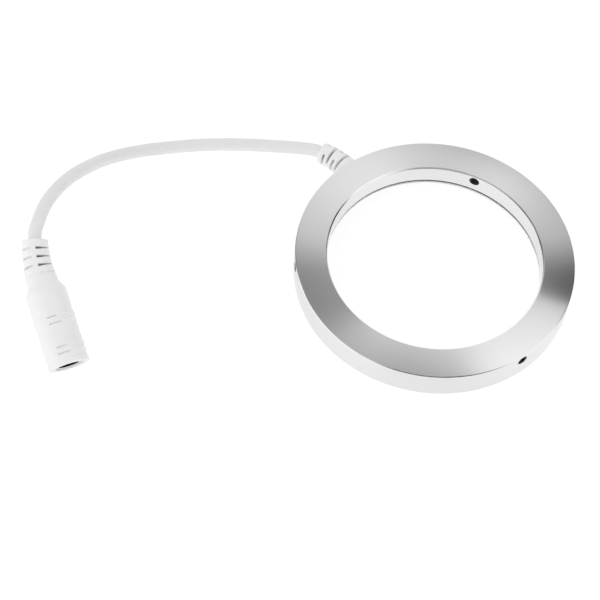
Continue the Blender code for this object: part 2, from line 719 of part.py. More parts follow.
def build_cord(relief_tip, jack_end, material):
    """It leaves and arrives straight for a short way, so that its ends stay square."""
    leaving = bearing(RELIEF_TIP_HEADING, RELIEF_TIP_RISE)
    arriving = -bearing(JACK_TAIL_HEADING, JACK_TAIL_RISE)
    straight = SEAT_GAP + CORD_RADIUS
    route = [relief_tip + leaving * straight]
    route += [Vector(place) for place in CORD_ROUTE]
    route.append(jack_end - arriving * straight)
    points = smooth_route(route, leaving, arriving, CORD_POINT_SPACING)
    points = [relief_tip + leaving * SEAT_GAP] + points + [jack_end - arriving * SEAT_GAP]
    tube("cord", points, CORD_RADIUS, material)


clear_scene()
object_parts = new_collection("microscope_ring_light")
cutters = new_collection("cutters")

aluminium = make_material("turned_aluminium", (0.80, 0.80, 0.80), 0.28, 1.0)
black_steel = make_material("black_oxide_steel", (0.02, 0.02, 0.02), 0.4, 0.8)
board_white = make_material("white_solder_mask", (0.85, 0.86, 0.84), 0.45)
led_phosphor = make_material("led_phosphor", (0.90, 0.82, 0.42), 0.4)
resistor_black = make_material("resistor_ceramic", (0.05, 0.05, 0.05), 0.5)
frosted = make_material("frosted_acrylic", (0.88, 0.89, 0.90), 0.55)
white_pvc = make_material("white_pvc", (0.82, 0.82, 0.82), 0.45)
white_nylon = make_material("white_nylon", (0.70, 0.70, 0.70), 0.5)
nickel = make_material("nickel_plate", (0.70, 0.68, 0.64), 0.25, 1.0)
solder = make_material("solder", (0.62, 0.62, 0.62), 0.3, 1.0)
wire_colours = {
    "positive": make_material("red_wire", (0.55, 0.03, 0.03), 0.45),
    "negative": make_material("black_wire", (0.02, 0.02, 0.02), 0.45),
}

build_housing(aluminium)
build_set_screws(black_steel)
build_board(board_white)
build_lamps(led_phosphor, resistor_black)
build_diffuser(frosted)
cord_start = build_ring_relief(white_pvc)
build_wires(wire_colours, solder)
cord_end = build_connector(white_pvc, white_nylon, nickel, nickel)
build_cord(cord_start, cord_end, white_pvc)
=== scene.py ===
# %% [markdown]
# This lesson gives a microscope ring light its looks. The light is a flat ring of turned aluminium
# that slips over the nose of a stereo microscope, where three small set screws hold it. Lamps sit
# in a channel underneath, behind a frosted cover, and a short white lead ends in a female power
# connector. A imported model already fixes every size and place, so each step below only makes the
# finer shape and the finish of one piece, in the same place. All lengths are metres.

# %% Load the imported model
import json
import math

import bmesh
import bpy
import numpy as np
from mathutils import Matrix, Vector

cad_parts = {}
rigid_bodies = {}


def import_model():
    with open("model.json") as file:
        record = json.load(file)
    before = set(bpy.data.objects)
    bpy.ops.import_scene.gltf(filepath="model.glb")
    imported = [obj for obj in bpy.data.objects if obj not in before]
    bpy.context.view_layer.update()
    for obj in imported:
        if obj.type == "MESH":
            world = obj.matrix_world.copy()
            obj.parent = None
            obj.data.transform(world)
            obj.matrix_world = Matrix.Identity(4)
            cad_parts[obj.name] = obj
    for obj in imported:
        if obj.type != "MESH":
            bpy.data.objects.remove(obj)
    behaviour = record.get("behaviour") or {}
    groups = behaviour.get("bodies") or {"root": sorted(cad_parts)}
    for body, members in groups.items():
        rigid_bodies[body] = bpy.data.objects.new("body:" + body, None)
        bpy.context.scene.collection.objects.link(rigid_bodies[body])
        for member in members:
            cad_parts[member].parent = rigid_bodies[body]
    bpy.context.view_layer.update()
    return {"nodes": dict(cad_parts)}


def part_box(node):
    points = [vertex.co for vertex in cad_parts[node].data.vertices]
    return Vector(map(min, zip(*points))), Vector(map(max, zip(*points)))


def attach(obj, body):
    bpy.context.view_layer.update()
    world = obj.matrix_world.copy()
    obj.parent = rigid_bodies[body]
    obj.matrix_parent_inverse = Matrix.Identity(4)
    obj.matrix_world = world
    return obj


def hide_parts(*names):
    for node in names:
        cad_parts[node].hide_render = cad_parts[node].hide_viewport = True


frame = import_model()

MM = 0.001

# %% [markdown]
# In Blender an object is a place in the scene, and it carries data such as a mesh, a curve or a lamp.
# The same data can be carried by several objects, as the lamps of this light do. One small function
# makes an object and links it to the scene.

# %% Put something in the scene
def add_object(name, data, place=Matrix()):
    """A new object in the scene. The place is its matrix, and the origin if none is given."""
    made = bpy.data.objects.new(name, data)
    bpy.context.scene.collection.objects.link(made)
    made.matrix_world = place
    return made


# %% [markdown]
# A long lens keeps the ring's ellipses nearly parallel, as product photographs do. The camera looks
# down at 57.5 degrees from half a metre away and leans a little to one side, which is why the far
# rim of the ring seems to climb to the left. Its three axes are worked out from those two angles.

# %% Place the camera
CAMERA_PLACE = Vector((-0.036139, -0.291900, 0.437442))
CAMERA_ELEVATION = math.radians(57.5)
CAMERA_LEAN = math.radians(5.62)
LENS_MM = 112.2
SENSOR_MM = 36

level_right = Vector((1, 0, 0))
level_up = Vector((0, math.sin(CAMERA_ELEVATION), math.cos(CAMERA_ELEVATION)))
camera_back = Vector((0, -math.cos(CAMERA_ELEVATION), math.sin(CAMERA_ELEVATION)))
camera_right = level_right * math.cos(CAMERA_LEAN) + level_up * math.sin(CAMERA_LEAN)
camera_up = level_up * math.cos(CAMERA_LEAN) - level_right * math.sin(CAMERA_LEAN)

camera_data = bpy.data.cameras.new("camera")
camera_data.lens = LENS_MM
camera_data.sensor_width = SENSOR_MM
camera_axes = Matrix((camera_right, camera_up, camera_back)).transposed()
camera = add_object("camera", camera_data, Matrix.Translation(CAMERA_PLACE) @ camera_axes.to_4x4())
bpy.context.scene.camera = camera
print("camera distance in mm:", round(CAMERA_PLACE.length / MM))

# %% [markdown]
# Two white sleeves protect the lead: one where it leaves the ring and one on the connector. Each is
# straight in its own axes, with local Z along it, and then bends sideways as a soft moulding does.
# A heading is an angle in plan from +X, and a rise is an angle up from the table.

# %% Directions, axes and bends
def bearing(heading, rise=0.0):
    flat = math.cos(math.radians(rise))
    return Vector((math.cos(math.radians(heading)) * flat, math.sin(math.radians(heading)) * flat,
                   math.sin(math.radians(rise))))


def axis_frame(place, direction):
    """Matrix of a piece whose local Z runs along the direction and whose local Y leans up."""
    side = Vector((0, 0, 1)).cross(direction).normalized()
    lean = direction.cross(side)
    return Matrix.Translation(place) @ Matrix((side, lean, direction)).transposed().to_4x4()


def bend_of(axes, end_direction):
    """Local side towards which an axis turns to reach a world direction, and by how much."""
    local = axes.to_3x3().transposed() @ end_direction
    return Vector((local.x, local.y, 0)).normalized(), math.acos(local.z)


def bent_point(point, start, length, side, angle):
    """A point of a straight sleeve along Z, after the sleeve bends from start on by the angle."""
    run = point.z - start
    if run <= 0:
        return point.copy()
    on_arc = min(run, length)
    turn = angle * on_arc / length
    radius = length / angle
    centre = side * (radius * (1 - math.cos(turn))) + Vector((0, 0, start + radius * math.sin(turn)))
    centre += (side * math.sin(turn) + Vector((0, 0, math.cos(turn)))) * (run - on_arc)
    flat = Vector((point.x, point.y, 0))
    along = flat.dot(side)
    return centre + flat + side * (along * (math.cos(turn) - 1)) - Vector((0, 0, along * math.sin(turn)))


# %% [markdown]
# The ring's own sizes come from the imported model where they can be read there: its height from the
# housing's box, and its two radii from the farthest and the nearest point to the axis. The channel's
# sizes are written here, because the housing below is turned from them.

# %% Sizes of the ring
housing_points = [vertex.co for vertex in frame["nodes"]["ring_housing"].data.vertices]
RING_OUTER_RADIUS = max(math.hypot(point.x, point.y) for point in housing_points)
RING_BORE_RADIUS = min(math.hypot(point.x, point.y) for point in housing_points)
RING_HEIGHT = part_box("ring_housing")[1].z
CHANNEL_DEPTH = 4.7 * MM
OUTER_WALL = 2.3 * MM
INNER_WALL = 1.2 * MM
INNER_WALL_BOTTOM = 3.0 * MM
SEAT_GAP = 0.3 * MM
EXIT_ANGLE = 131.5
EXIT_HEIGHT = 4.5 * MM
print("ring in mm:", round(2 * RING_OUTER_RADIUS / MM, 2), "across,",
      round(2 * RING_BORE_RADIUS / MM, 2), "bore,", round(RING_HEIGHT / MM, 2), "high")

# %% [markdown]
# Each sleeve's axes stand where the sleeve begins: on the ring's outer wall, and at the connector's
# mouth. From there its length and its bend lead to the place where the cord comes out.

# %% Axes of the two sleeves
RELIEF_LENGTH = 10.3 * MM
RELIEF_TIP_HEADING = 157.0
RELIEF_TIP_RISE = -4.0
exit_place = bearing(EXIT_ANGLE) * RING_OUTER_RADIUS + Vector((0, 0, EXIT_HEIGHT))
exit_axes = axis_frame(exit_place, bearing(EXIT_ANGLE))
relief_bend = bend_of(exit_axes, bearing(RELIEF_TIP_HEADING, RELIEF_TIP_RISE))
relief_tip = exit_axes @ bent_point(Vector((0, 0, RELIEF_LENGTH)), 0, RELIEF_LENGTH, *relief_bend)

JACK_LENGTH = 35.6 * MM
JACK_BEND_START = 24.1 * MM
JACK_MOUTH_PLACE = Vector((-95.49 * MM, -44.42 * MM, 5.219 * MM))
JACK_HEADING = 116.1
JACK_RISE = 20.5
JACK_TAIL_HEADING = 99.1
JACK_TAIL_RISE = 25.0
jack_axes = axis_frame(JACK_MOUTH_PLACE, bearing(JACK_HEADING, JACK_RISE))
jack_bend = bend_of(jack_axes, bearing(JACK_TAIL_HEADING, JACK_TAIL_RISE))
jack_bend_length = JACK_LENGTH - JACK_BEND_START
jack_tail = jack_axes @ bent_point(Vector((0, 0, JACK_LENGTH)), JACK_BEND_START, jack_bend_length,
                                   *jack_bend)
print("cord ends in mm:", [round(v / MM, 1) for v in relief_tip], [round(v / MM, 1) for v in jack_tail])

# %% [markdown]
# The lead is a round cord of 3.7 mm, short and springy. It leaves its sleeve a little nose-down and
# lies on the table, and then rises in a low arch to the connector, which leans on the edge of its
# mouth with its tail in the air. A Bezier curve with automatic handles runs smoothly through listed
# points, and a bevel gives it its round section.

# %% The cord
CORD_RADIUS = 1.85 * MM
# How far each end reaches into its sleeve
CORD_TUCK = 0.4 * MM
CORD_ROUTE = [
    (-0.0402, 0.0366, 0.00345),
    (-0.0453, 0.0371, 0.0026),
    (-0.0503, 0.0373, 0.00203),
    (-0.0555, 0.0371, 0.00187),
    (-0.0609, 0.0366, 0.00187),
    (-0.0662, 0.0359, 0.00187),
    (-0.0715, 0.0349, 0.0019),
    (-0.0766, 0.0334, 0.00228),
    (-0.0815, 0.0314, 0.00327),
    (-0.0860, 0.0288, 0.00489),
    (-0.0898, 0.0257, 0.00704),
    (-0.0931, 0.0222, 0.00953),
    (-0.0959, 0.0185, 0.01214),
    (-0.0984, 0.0145, 0.01473),
    (-0.1008, 0.0103, 0.01715),
    (-0.1031, 0.0059, 0.01915),
    (-0.1053, 0.0011, 0.02045),
    (-0.1072, -0.0039, 0.0208),
    (-0.1084, -0.0091, 0.02001),
]
leaving = bearing(RELIEF_TIP_HEADING, RELIEF_TIP_RISE)
arriving = -bearing(JACK_TAIL_HEADING, JACK_TAIL_RISE)
cord_points = [relief_tip - leaving * CORD_TUCK, relief_tip + leaving * CORD_RADIUS]
cord_points += [Vector(place) for place in CORD_ROUTE]
cord_points += [jack_tail - arriving * CORD_RADIUS, jack_tail + arriving * CORD_TUCK]

cord_curve = bpy.data.curves.new("lead", "CURVE")
cord_curve.dimensions = "3D"
cord_curve.bevel_depth = CORD_RADIUS
cord_curve.bevel_resolution = 6
cord_curve.use_fill_caps = True
cord_curve.resolution_u = 8
cord_spline = cord_curve.splines.new("BEZIER")
cord_spline.bezier_points.add(len(cord_points) - 1)
for knot, place in zip(cord_spline.bezier_points, cord_points):
    knot.co = place
    knot.handle_left_type = "AUTO"
    knot.handle_right_type = "AUTO"
lead = add_object("lead", cord_curve)

# %% [markdown]
# Every material below is a small tree of nodes. One function adds a node, sets its properties, and
# sets or links its inputs. Colours are written as hex values, the way a paint or screen colour is
# given, and one function turns them into the linear values that a shader works with.

# %% Helpers for materials
def linear(hex_colour):
    """Linear red, green, blue and alpha of an sRGB hex colour."""
    channels = [int(hex_colour[i:i + 2], 16) / 255 for i in (1, 3, 5)]
    return tuple(c / 12.92 if c <= 0.04045 else ((c + 0.055) / 1.055) ** 2.4 for c in channels) + (1.0,)


def add_node(tree, kind, inputs=None, **settings):
    """Adds a node: the settings are its properties, the inputs are values or other nodes' outputs.

    An input goes by its name or number. A Mix node's colours are numbers 6 and 7, its result number 2.
    """
    node = tree.nodes.new(kind)
    for name, value in settings.items():
        setattr(node, name, value)
    for socket, value in (inputs or {}).items():
        if isinstance(value, bpy.types.NodeSocket):
            tree.links.new(value, node.inputs[socket])
        else:
            node.inputs[socket].default_value = value
    return node


def new_tree(name):
    """A new material without nodes, and its node tree."""
    material = bpy.data.materials.new(name)
    material.use_nodes = True
    material.node_tree.nodes.clear()
    return material, material.node_tree


# %% [markdown]
# The housing is bright turned aluminium. A lathe tool leaves fine grooves that run round the ring,
# so a highlight stretches across them: that gives the top face its fans of light and dark. The shader
# stretches its highlight with Anisotropic along a tangent that runs round the Z axis, turned by a
# quarter so that the stretch lies across the grooves. The real feed of about 0.1 mm a turn is finer
# than one pixel of the picture, so the lines are drawn three times as coarse to show at all. A facing
# tool's grooves are saw teeth: their long flanks lean outward, so the flat top mirrors as a very low
# cone would. The normal is leaned by that angle on faces that look straight up, and nowhere else. The
# chamfers are cut by a form tool in one pass, which leaves them shinier than the faces they join.

# %% Turned aluminium
TURNING_PITCH = 0.3 * MM
TURNING_DEPTH = 0.0012 * MM
HAZE_SPOTS_PER_METRE = 60.0
GROOVE_LEAN = math.radians(14)
# How rough each kind of cut is, as a share of the facing cut on top
WALL_SHARE = 0.9
CHAMFER_SHARE = 0.35
# The part of a face's normal that points up: above the first on top, about the second on a chamfer
TOP_NORMAL = 0.9
CHAMFER_NORMAL = 0.6
CHAMFER_RANGE = 0.3

turned_aluminium, tree = new_tree("turned_aluminium")
place = add_node(tree, "ShaderNodeTexCoord").outputs["Object"]
split = add_node(tree, "ShaderNodeSeparateXYZ", {0: place})
flat = add_node(tree, "ShaderNodeCombineXYZ", {"X": split.outputs["X"], "Y": split.outputs["Y"]})
radius = add_node(tree, "ShaderNodeVectorMath", {0: flat.outputs[0]}, operation="LENGTH")
groove = add_node(tree, "ShaderNodeCombineXYZ", {"X": radius.outputs["Value"], "Y": split.outputs["Z"]})
lines = add_node(tree, "ShaderNodeTexNoise", {"Vector": groove.outputs[0], "Scale": 1 / TURNING_PITCH,
                                              "Detail": 3.0, "Roughness": 0.7}, noise_dimensions="2D")
haze = add_node(tree, "ShaderNodeTexNoise", {"Vector": place, "Scale": HAZE_SPOTS_PER_METRE,
                                             "Detail": 2.0})
rough = add_node(tree, "ShaderNodeMapRange", {"Value": lines.outputs[0], "To Min": 0.27, "To Max": 0.32})
tone = add_node(tree, "ShaderNodeMix", {0: haze.outputs[0], 6: linear("#F6F6F6"), 7: linear("#F2F2F2")},
                data_type="RGBA")
facing = add_node(tree, "ShaderNodeNewGeometry").outputs["Normal"]
facing_up = add_node(tree, "ShaderNodeSeparateXYZ", {0: facing}).outputs["Z"]
on_top = add_node(tree, "ShaderNodeMath", {0: facing_up, 1: TOP_NORMAL}, operation="GREATER_THAN")
on_chamfer = add_node(tree, "ShaderNodeMath", {0: facing_up, 1: CHAMFER_NORMAL, 2: CHAMFER_RANGE},
                      operation="COMPARE")
cut = add_node(tree, "ShaderNodeMix", {0: on_top.outputs[0], 2: WALL_SHARE, 3: 1.0}).outputs[0]
cut = add_node(tree, "ShaderNodeMix", {0: on_chamfer.outputs[0], 2: cut, 3: CHAMFER_SHARE}).outputs[0]
rough = add_node(tree, "ShaderNodeMath", {0: rough.outputs["Result"], 1: cut}, operation="MULTIPLY")
lean = add_node(tree, "ShaderNodeMath", {0: on_top.outputs[0], 1: math.tan(GROOVE_LEAN)},
                operation="MULTIPLY")
outward = add_node(tree, "ShaderNodeVectorMath", {0: flat.outputs[0]}, operation="NORMALIZE")
outward = add_node(tree, "ShaderNodeVectorMath", {0: outward.outputs[0], "Scale": lean.outputs[0]},
                   operation="SCALE")
flank = add_node(tree, "ShaderNodeVectorMath", {0: facing, 1: outward.outputs[0]}, operation="ADD")
flank = add_node(tree, "ShaderNodeVectorMath", {0: flank.outputs[0]}, operation="NORMALIZE")
bump = add_node(tree, "ShaderNodeBump", {"Height": lines.outputs[0], "Distance": TURNING_DEPTH,
                                         "Normal": flank.outputs[0]})
round_the_axis = add_node(tree, "ShaderNodeTangent", direction_type="RADIAL", axis="Z")
shader = add_node(tree, "ShaderNodeBsdfPrincipled", {
    "Base Color": tone.outputs[2], "Metallic": 1.0, "Roughness": rough.outputs[0],
    "Anisotropic": 0.978, "Anisotropic Rotation": 0.25, "Tangent": round_the_axis.outputs[0],
    "Normal": bump.outputs[0]})
add_node(tree, "ShaderNodeOutputMaterial", {"Surface": shader.outputs[0]})
print("nodes of the turned aluminium:", len(tree.nodes))

# %% [markdown]
# The other finishes are plainer and built alike. A noise whose spots have a real size, taken in the
# piece's own space, makes the surface rougher here and smoother there. Where a finish has two colours,
# the same noise blends them, or a second one with larger spots. One function builds such a material.

# %% Finishes with a fine grain
def grained(name, colours, roughness, grain, inputs=None, detail=2.0, texture="ShaderNodeTexNoise",
            depth=0.0, cloud=0.0):
    """A material whose roughness is one value, or runs between two with a grain of a real size.

    The inputs go to the shader, and a depth raises the grain. Two colours are blended by the grain, or
    by a noise whose spots are as large as the cloud.
    """
    material, tree = new_tree(name)
    place = add_node(tree, "ShaderNodeTexCoord").outputs["Object"]
    spots = add_node(tree, texture, {"Vector": place, "Scale": 1 / grain, "Detail": detail}).outputs[0]
    looks = {"Base Color": linear(colours[0]), "Roughness": roughness, **(inputs or {})}
    if isinstance(roughness, tuple):
        low, high = roughness
        spread = add_node(tree, "ShaderNodeMapRange", {"Value": spots, "To Min": low, "To Max": high})
        looks["Roughness"] = spread.outputs["Result"]
    if len(colours) == 2:
        blend = spots
        if cloud:
            slow = add_node(tree, texture, {"Vector": place, "Scale": 1 / cloud, "Detail": 1.0})
            blend = slow.outputs[0]
        tone = add_node(tree, "ShaderNodeMix", {0: blend, 6: linear(colours[0]), 7: linear(colours[1])},
                        data_type="RGBA")
        looks["Base Color"] = tone.outputs[2]
    if depth:
        bump = add_node(tree, "ShaderNodeBump", {"Height": spots, "Distance": depth})
        looks["Normal"] = bump.outputs[0]
    shader = add_node(tree, "ShaderNodeBsdfPrincipled", looks)
    add_node(tree, "ShaderNodeOutputMaterial", {"Surface": shader.outputs[0]})
    return material


# %% [markdown]
# The rest of the metal is a tapped thread in each screw hole, three black set screws, nickel-plated
# contacts in the connector, and bright tin where something is soldered.

# %% Other metals
METAL = {"Metallic": 1.0}
# A tap tears the aluminium a little, so a thread is duller than a turned face. Its darker grey is
# painted shade, for the shade deep in the holes
tapped_aluminium_painted_shade = grained("tapped_aluminium_painted_shade", ["#5C5D5E"], (0.32, 0.5), grain=0.2 * MM, inputs=METAL)
# Black oxide on alloy steel is a thin crust: nearly black, slightly blue and only weakly metallic
black_oxide_steel = grained("black_oxide_steel", ["#08080A", "#121315"], (0.3, 0.5), grain=0.5 * MM,
                            inputs={"Metallic": 0.3}, detail=4.0)
# Plated nickel is smooth and a little warm, and rubbed duller in patches
nickel_plate = grained("nickel_plate", ["#D8D3C8"], (0.16, 0.3), grain=0.8 * MM, inputs=METAL,
                       detail=3.0)
# Tin sets in small crystals, so its gloss changes from cell to cell
bright_tin = grained("bright_tin", ["#CFD0CF"], (0.2, 0.4), grain=0.25 * MM, inputs=METAL, detail=0.0,
                     texture="ShaderNodeTexVoronoi")
print("metals:", 1 + len([tapped_aluminium_painted_shade, black_oxide_steel, nickel_plate, bright_tin]))

# %% [markdown]
# The sleeves and the connector's body are soft white PVC, moulded onto the cord, and the cord's own
# jacket is the same plastic, extruded. Moulded PVC takes the fine matt texture of its steel mould, and
# the light goes a little way into it. An extruded jacket is smoother and a little greyer.

# %% White plastics
MOULD_GRAIN = 0.25 * MM
MOULD_GRAIN_DEPTH = 0.004 * MM
SOFT_PVC = {"IOR": 1.53, "Subsurface Weight": 0.15, "Subsurface Radius": (1.0, 1.0, 1.0),
            "Subsurface Scale": 0.4 * MM}
moulded_pvc = grained("moulded_white_pvc", ["#F8F8F8", "#F2F2F2"], (0.4, 0.55), MOULD_GRAIN, SOFT_PVC,
                      detail=3.0, depth=MOULD_GRAIN_DEPTH, cloud=6 * MM)
extruded_pvc = grained("extruded_white_pvc", ["#F0F0F0", "#E9E9E9"], (0.38, 0.48), grain=4 * MM,
                       inputs=SOFT_PVC)
# Nylon is harder and a little duller than the PVC round it
moulded_nylon = grained("moulded_white_nylon", ["#F0F0EF"], (0.45, 0.6), MOULD_GRAIN, {"IOR": 1.53})
# Painted shade: black for the inside of the socket. It is seen nearly edge-on, where any gloss would
# turn its black into grey
socket_shade_nylon = grained("socket_painted_shade", ["#0C0C0D"], (0.5, 0.65), MOULD_GRAIN,
                      {"Specular IOR Level": 0.0})
print("white and black plastics:", len([moulded_pvc, extruded_pvc, moulded_nylon, socket_shade_nylon]))

# %% [markdown]
# The cover under the lamps is acrylic with a frosted surface: light passes, but the lamps behind it
# blur into soft spots. Inside, the board is coated with white solder mask, each lamp is a white
# package filled with yellow phosphor, and each resistor is a black chip with tinned ends. The cover's
# rim under the wall is painted black as shade, and the floors of the sleeves' narrow slots are painted
# a darker grey as shade.

# %% Materials of the light itself
FROST_DEPTH = 0.004 * MM
frosted_acrylic = grained("frosted_acrylic", ["#F3F5F6"], (0.5, 0.65), grain=0.3 * MM,
                          inputs={"IOR": 1.49, "Transmission Weight": 0.55}, detail=3.0,
                          depth=FROST_DEPTH)
# Solder mask is a printed coat, so its white is a little uneven and its gloss is the same all over
white_solder_mask = grained("white_solder_mask", ["#F2F3F0", "#E8EAE6"], 0.4, grain=0.6 * MM)

# Hex colour and range of roughness of each small piece inside and of a few faces
SMALL_FINISHES = {
    "lamp_package": ("#EFEEE9", (0.4, 0.55)),
    "yellow_phosphor": ("#EBC955", (0.25, 0.4)),
    "black_resistor_glaze": ("#1C1C1E", (0.3, 0.45)),
    "red_wire_pvc": ("#B0281E", (0.37, 0.52)),
    "black_wire_pvc": ("#1A1A1A", (0.37, 0.52)),
    # Painted shade: black on the cover's rim under the inner wall
    "rim_painted_shade": ("#0A0A0A", (0.55, 0.7)),
    # Painted shade: a darker grey on the floors of the sleeves' slots
    "slot_painted_shade_pvc": ("#7A7A7A", (0.55, 0.7)),
}
SMALL_GRAIN = 0.4 * MM
small = {name: grained(name, [colour], roughness, SMALL_GRAIN)
         for name, (colour, roughness) in SMALL_FINISHES.items()}
print("materials:", len(bpy.data.materials))

# %% [markdown]
# Most pieces here are turned or moulded round an axis, so one function skins a stack of rings of
# points: each ring joins the next with quads. A turned piece is a stack of plain circles, and a slotted
# sleeve or a threaded screw is a stack whose radius also changes with the angle. Edges of real pieces
# are never sharp, so a second function rounds the corners of an outline before it is turned.

# %% Skin over rings, rounded outlines, and pieces
SHARP_ANGLE = 38.0
# The most that a rounded corner takes of the shorter edge beside it
MOST_OF_AN_EDGE = 0.45


def skin(name, rings, shut=False):
    """A closed mesh over rings of points. The end rings are filled, or joined if shut."""
    solid = bmesh.new()
    rows = [[solid.verts.new(point) for point in ring] for ring in rings]
    pairs = list(zip(rows, rows[1:]))
    if shut:
        pairs.append((rows[-1], rows[0]))
    count = len(rows[0])
    for lower, upper in pairs:
        for i in range(count):
            j = (i + 1) % count
            solid.faces.new((lower[i], lower[j], upper[j], upper[i]))
    if not shut:
        solid.faces.new(rows[0])
        solid.faces.new(rows[-1])
    bmesh.ops.recalc_face_normals(solid, faces=solid.faces)
    mesh = bpy.data.meshes.new(name)
    solid.to_mesh(mesh)
    solid.free()
    mesh.shade_smooth()
    mesh.set_sharp_from_angle(angle=math.radians(SHARP_ANGLE))
    return mesh


def ring_of(radius_at, height, facets, first=0.0):
    """A ring of points whose radius depends on the turn, a share of a full turn.

    It starts that many steps past the X axis.
    """
    ring = []
    for i in range(facets):
        turn = (i + first) / facets
        radius = radius_at(turn)
        angle = 2 * math.pi * turn
        ring.append((radius * math.cos(angle), radius * math.sin(angle), height))
    return ring


def circle(radius, height, facets, first=0.0):
    return ring_of(lambda turn: radius, height, facets, first)


def lathe(name, profile, facets, shut=False):
    """A turned mesh. The profile's points are (radius, height)."""
    return skin(name, [circle(radius, height, facets) for radius, height in profile], shut)


def soften(profile, radius, shut=False, steps=3):
    """Rounds each corner of an outline by the radius, or by less where its edges are short."""
    corners = [np.array(point, float) for point in profile]
    made = []
    for i, corner in enumerate(corners):
        if not shut and i in (0, len(corners) - 1):
            made.append(tuple(corner))
            continue
        before = corners[i - 1] - corner
        after = corners[(i + 1) % len(corners)] - corner
        before_length = np.linalg.norm(before)
        after_length = np.linalg.norm(after)
        reach = min(radius, MOST_OF_AN_EDGE * before_length, MOST_OF_AN_EDGE * after_length)
        start = corner + before / before_length * reach
        end = corner + after / after_length * reach
        for t in np.linspace(0, 1, steps + 1):
            made.append(tuple((1 - t) ** 2 * start + 2 * t * (1 - t) * corner + t ** 2 * end))
    return made


def two_materials(mesh, first, second, on_second):
    """Puts the second material on the faces whose corners, as an array, pass the test."""
    mesh.materials.append(first)
    mesh.materials.append(second)
    for face in mesh.polygons:
        face.material_index = int(on_second(np.array([mesh.vertices[v].co for v in face.vertices])))


def widest(corners):
    """The largest distance of a face's corners from the local Z axis."""
    return np.hypot(corners[:, 0], corners[:, 1]).max()


def add_piece(name, mesh, replaced, material=None, body="ring_light", place=Matrix()):
    """Puts a finished mesh in the scene as the piece that stands for a node of the model."""
    piece = add_object(name, mesh, place)
    if not mesh.materials:
        mesh.materials.append(material)
    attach(piece, body)
    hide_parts(replaced)
    return piece


# %% [markdown]
# The lead is the first piece to be finished: it takes the extruded jacket's material and stands for the
# model's cord.

# %% Finish the cord
cord_curve.materials.append(extruded_pvc)
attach(lead, "ring_light")
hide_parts("cord")
print("cord material:", cord_curve.materials[0].name)

# %% [markdown]
# A screw thread is a ridge wound round a cylinder. Seen at one angle, it is a row of teeth one pitch
# apart, and the row shifts by one pitch in a full turn. So the radius is a function of the height and
# the angle, and the same function makes the set screws and the tap that cuts their holes. The real
# thread is M3 with a pitch of 0.5 mm. The model's screws slide without turning, so the screws' crests
# are kept a little inside the holes' crests.

# %% Threads
THREAD_PITCH = 0.5 * MM
THREAD_COLUMNS = 36
THREAD_ROWS_PER_PITCH = 10
# Shares of the pitch that the flat root and each flank take, and the flat crest takes the rest
ROOT_SHARE = 0.2
FLANK_SHARE = 0.3


def thread_radius(height, turn, root, crest):
    """Radius of a threaded rod at a height, where turn is the angle as a share of a full turn."""
    phase = (height / THREAD_PITCH - turn) % 1.0
    from_root = abs(phase - 0.5)
    rise = min(max((from_root - ROOT_SHARE / 2) / FLANK_SHARE, 0.0), 1.0)
    return root + (crest - root) * rise


def threaded_ring(height, root, crest, limit):
    """One ring of a threaded rod, no wider than the limit."""
    return ring_of(lambda turn: min(thread_radius(height, turn, root, crest), limit), height,
                   THREAD_COLUMNS)


# %% [markdown]
# The housing is one turned ring: a solid roof, a channel for the lamps underneath, a thick outer wall
# and a thin inner wall that stops above the table. Its outline is turned round the axis. Three tapped
# holes, the hole for the lead and a pocket for its wires are then cut with booleans, by cutters that
# have a material of their own, so that the cut faces keep it.

# %% The housing
RING_FACETS = 360
EDGE_CHAMFER = 0.25 * MM
BORE_CHAMFER = 0.36 * MM
EDGE_BREAK = 0.06 * MM
SEAT_DEPTH = 0.8 * MM
SEAT_HEIGHT = 1.6 * MM
SCREW_ANGLES = (70.0, 190.0, 310.0)
SCREW_HEIGHT = 6.85 * MM
HOLE_CREST_RADIUS = 1.40 * MM
HOLE_ROOT_RADIUS = 1.60 * MM
EXIT_HOLE_RADIUS = 2.6 * MM
EXIT_HOLE_FACETS = 48
POCKET_HALF_WIDTH = 2.7 * MM
POCKET_END = -6.6 * MM
BOARD_BOTTOM = 3.6 * MM
OVERRUN = 1.0 * MM

channel_inner = RING_BORE_RADIUS + INNER_WALL
channel_outer = RING_OUTER_RADIUS - OUTER_WALL
seat_radius = channel_outer + SEAT_DEPTH
edge = EDGE_CHAMFER
ring_outline = [
    (RING_OUTER_RADIUS, RING_HEIGHT - edge),
    (RING_OUTER_RADIUS, edge),
    (RING_OUTER_RADIUS - edge, 0),
    (seat_radius, 0),
    (seat_radius, SEAT_HEIGHT),
    (channel_outer, SEAT_HEIGHT),
    (channel_outer, CHANNEL_DEPTH),
    (channel_inner, CHANNEL_DEPTH),
    (channel_inner, INNER_WALL_BOTTOM),
    (RING_BORE_RADIUS + edge, INNER_WALL_BOTTOM),
    (RING_BORE_RADIUS, INNER_WALL_BOTTOM + edge),
    (RING_BORE_RADIUS, RING_HEIGHT - BORE_CHAMFER),
    (RING_BORE_RADIUS + BORE_CHAMFER, RING_HEIGHT),
    (RING_OUTER_RADIUS - edge, RING_HEIGHT),
]
ring_mesh = lathe("turned_housing", soften(ring_outline, EDGE_BREAK, shut=True, steps=2), RING_FACETS,
                  shut=True)
ring_mesh.materials.append(turned_aluminium)


def cutter(name, mesh, place):
    """A tool for a boolean cut, whose material the cut faces take."""
    # The cut faces take the thread's darker grey, which is painted shade
    mesh.materials.append(tapped_aluminium_painted_shade)
    return add_object(name, mesh, place)


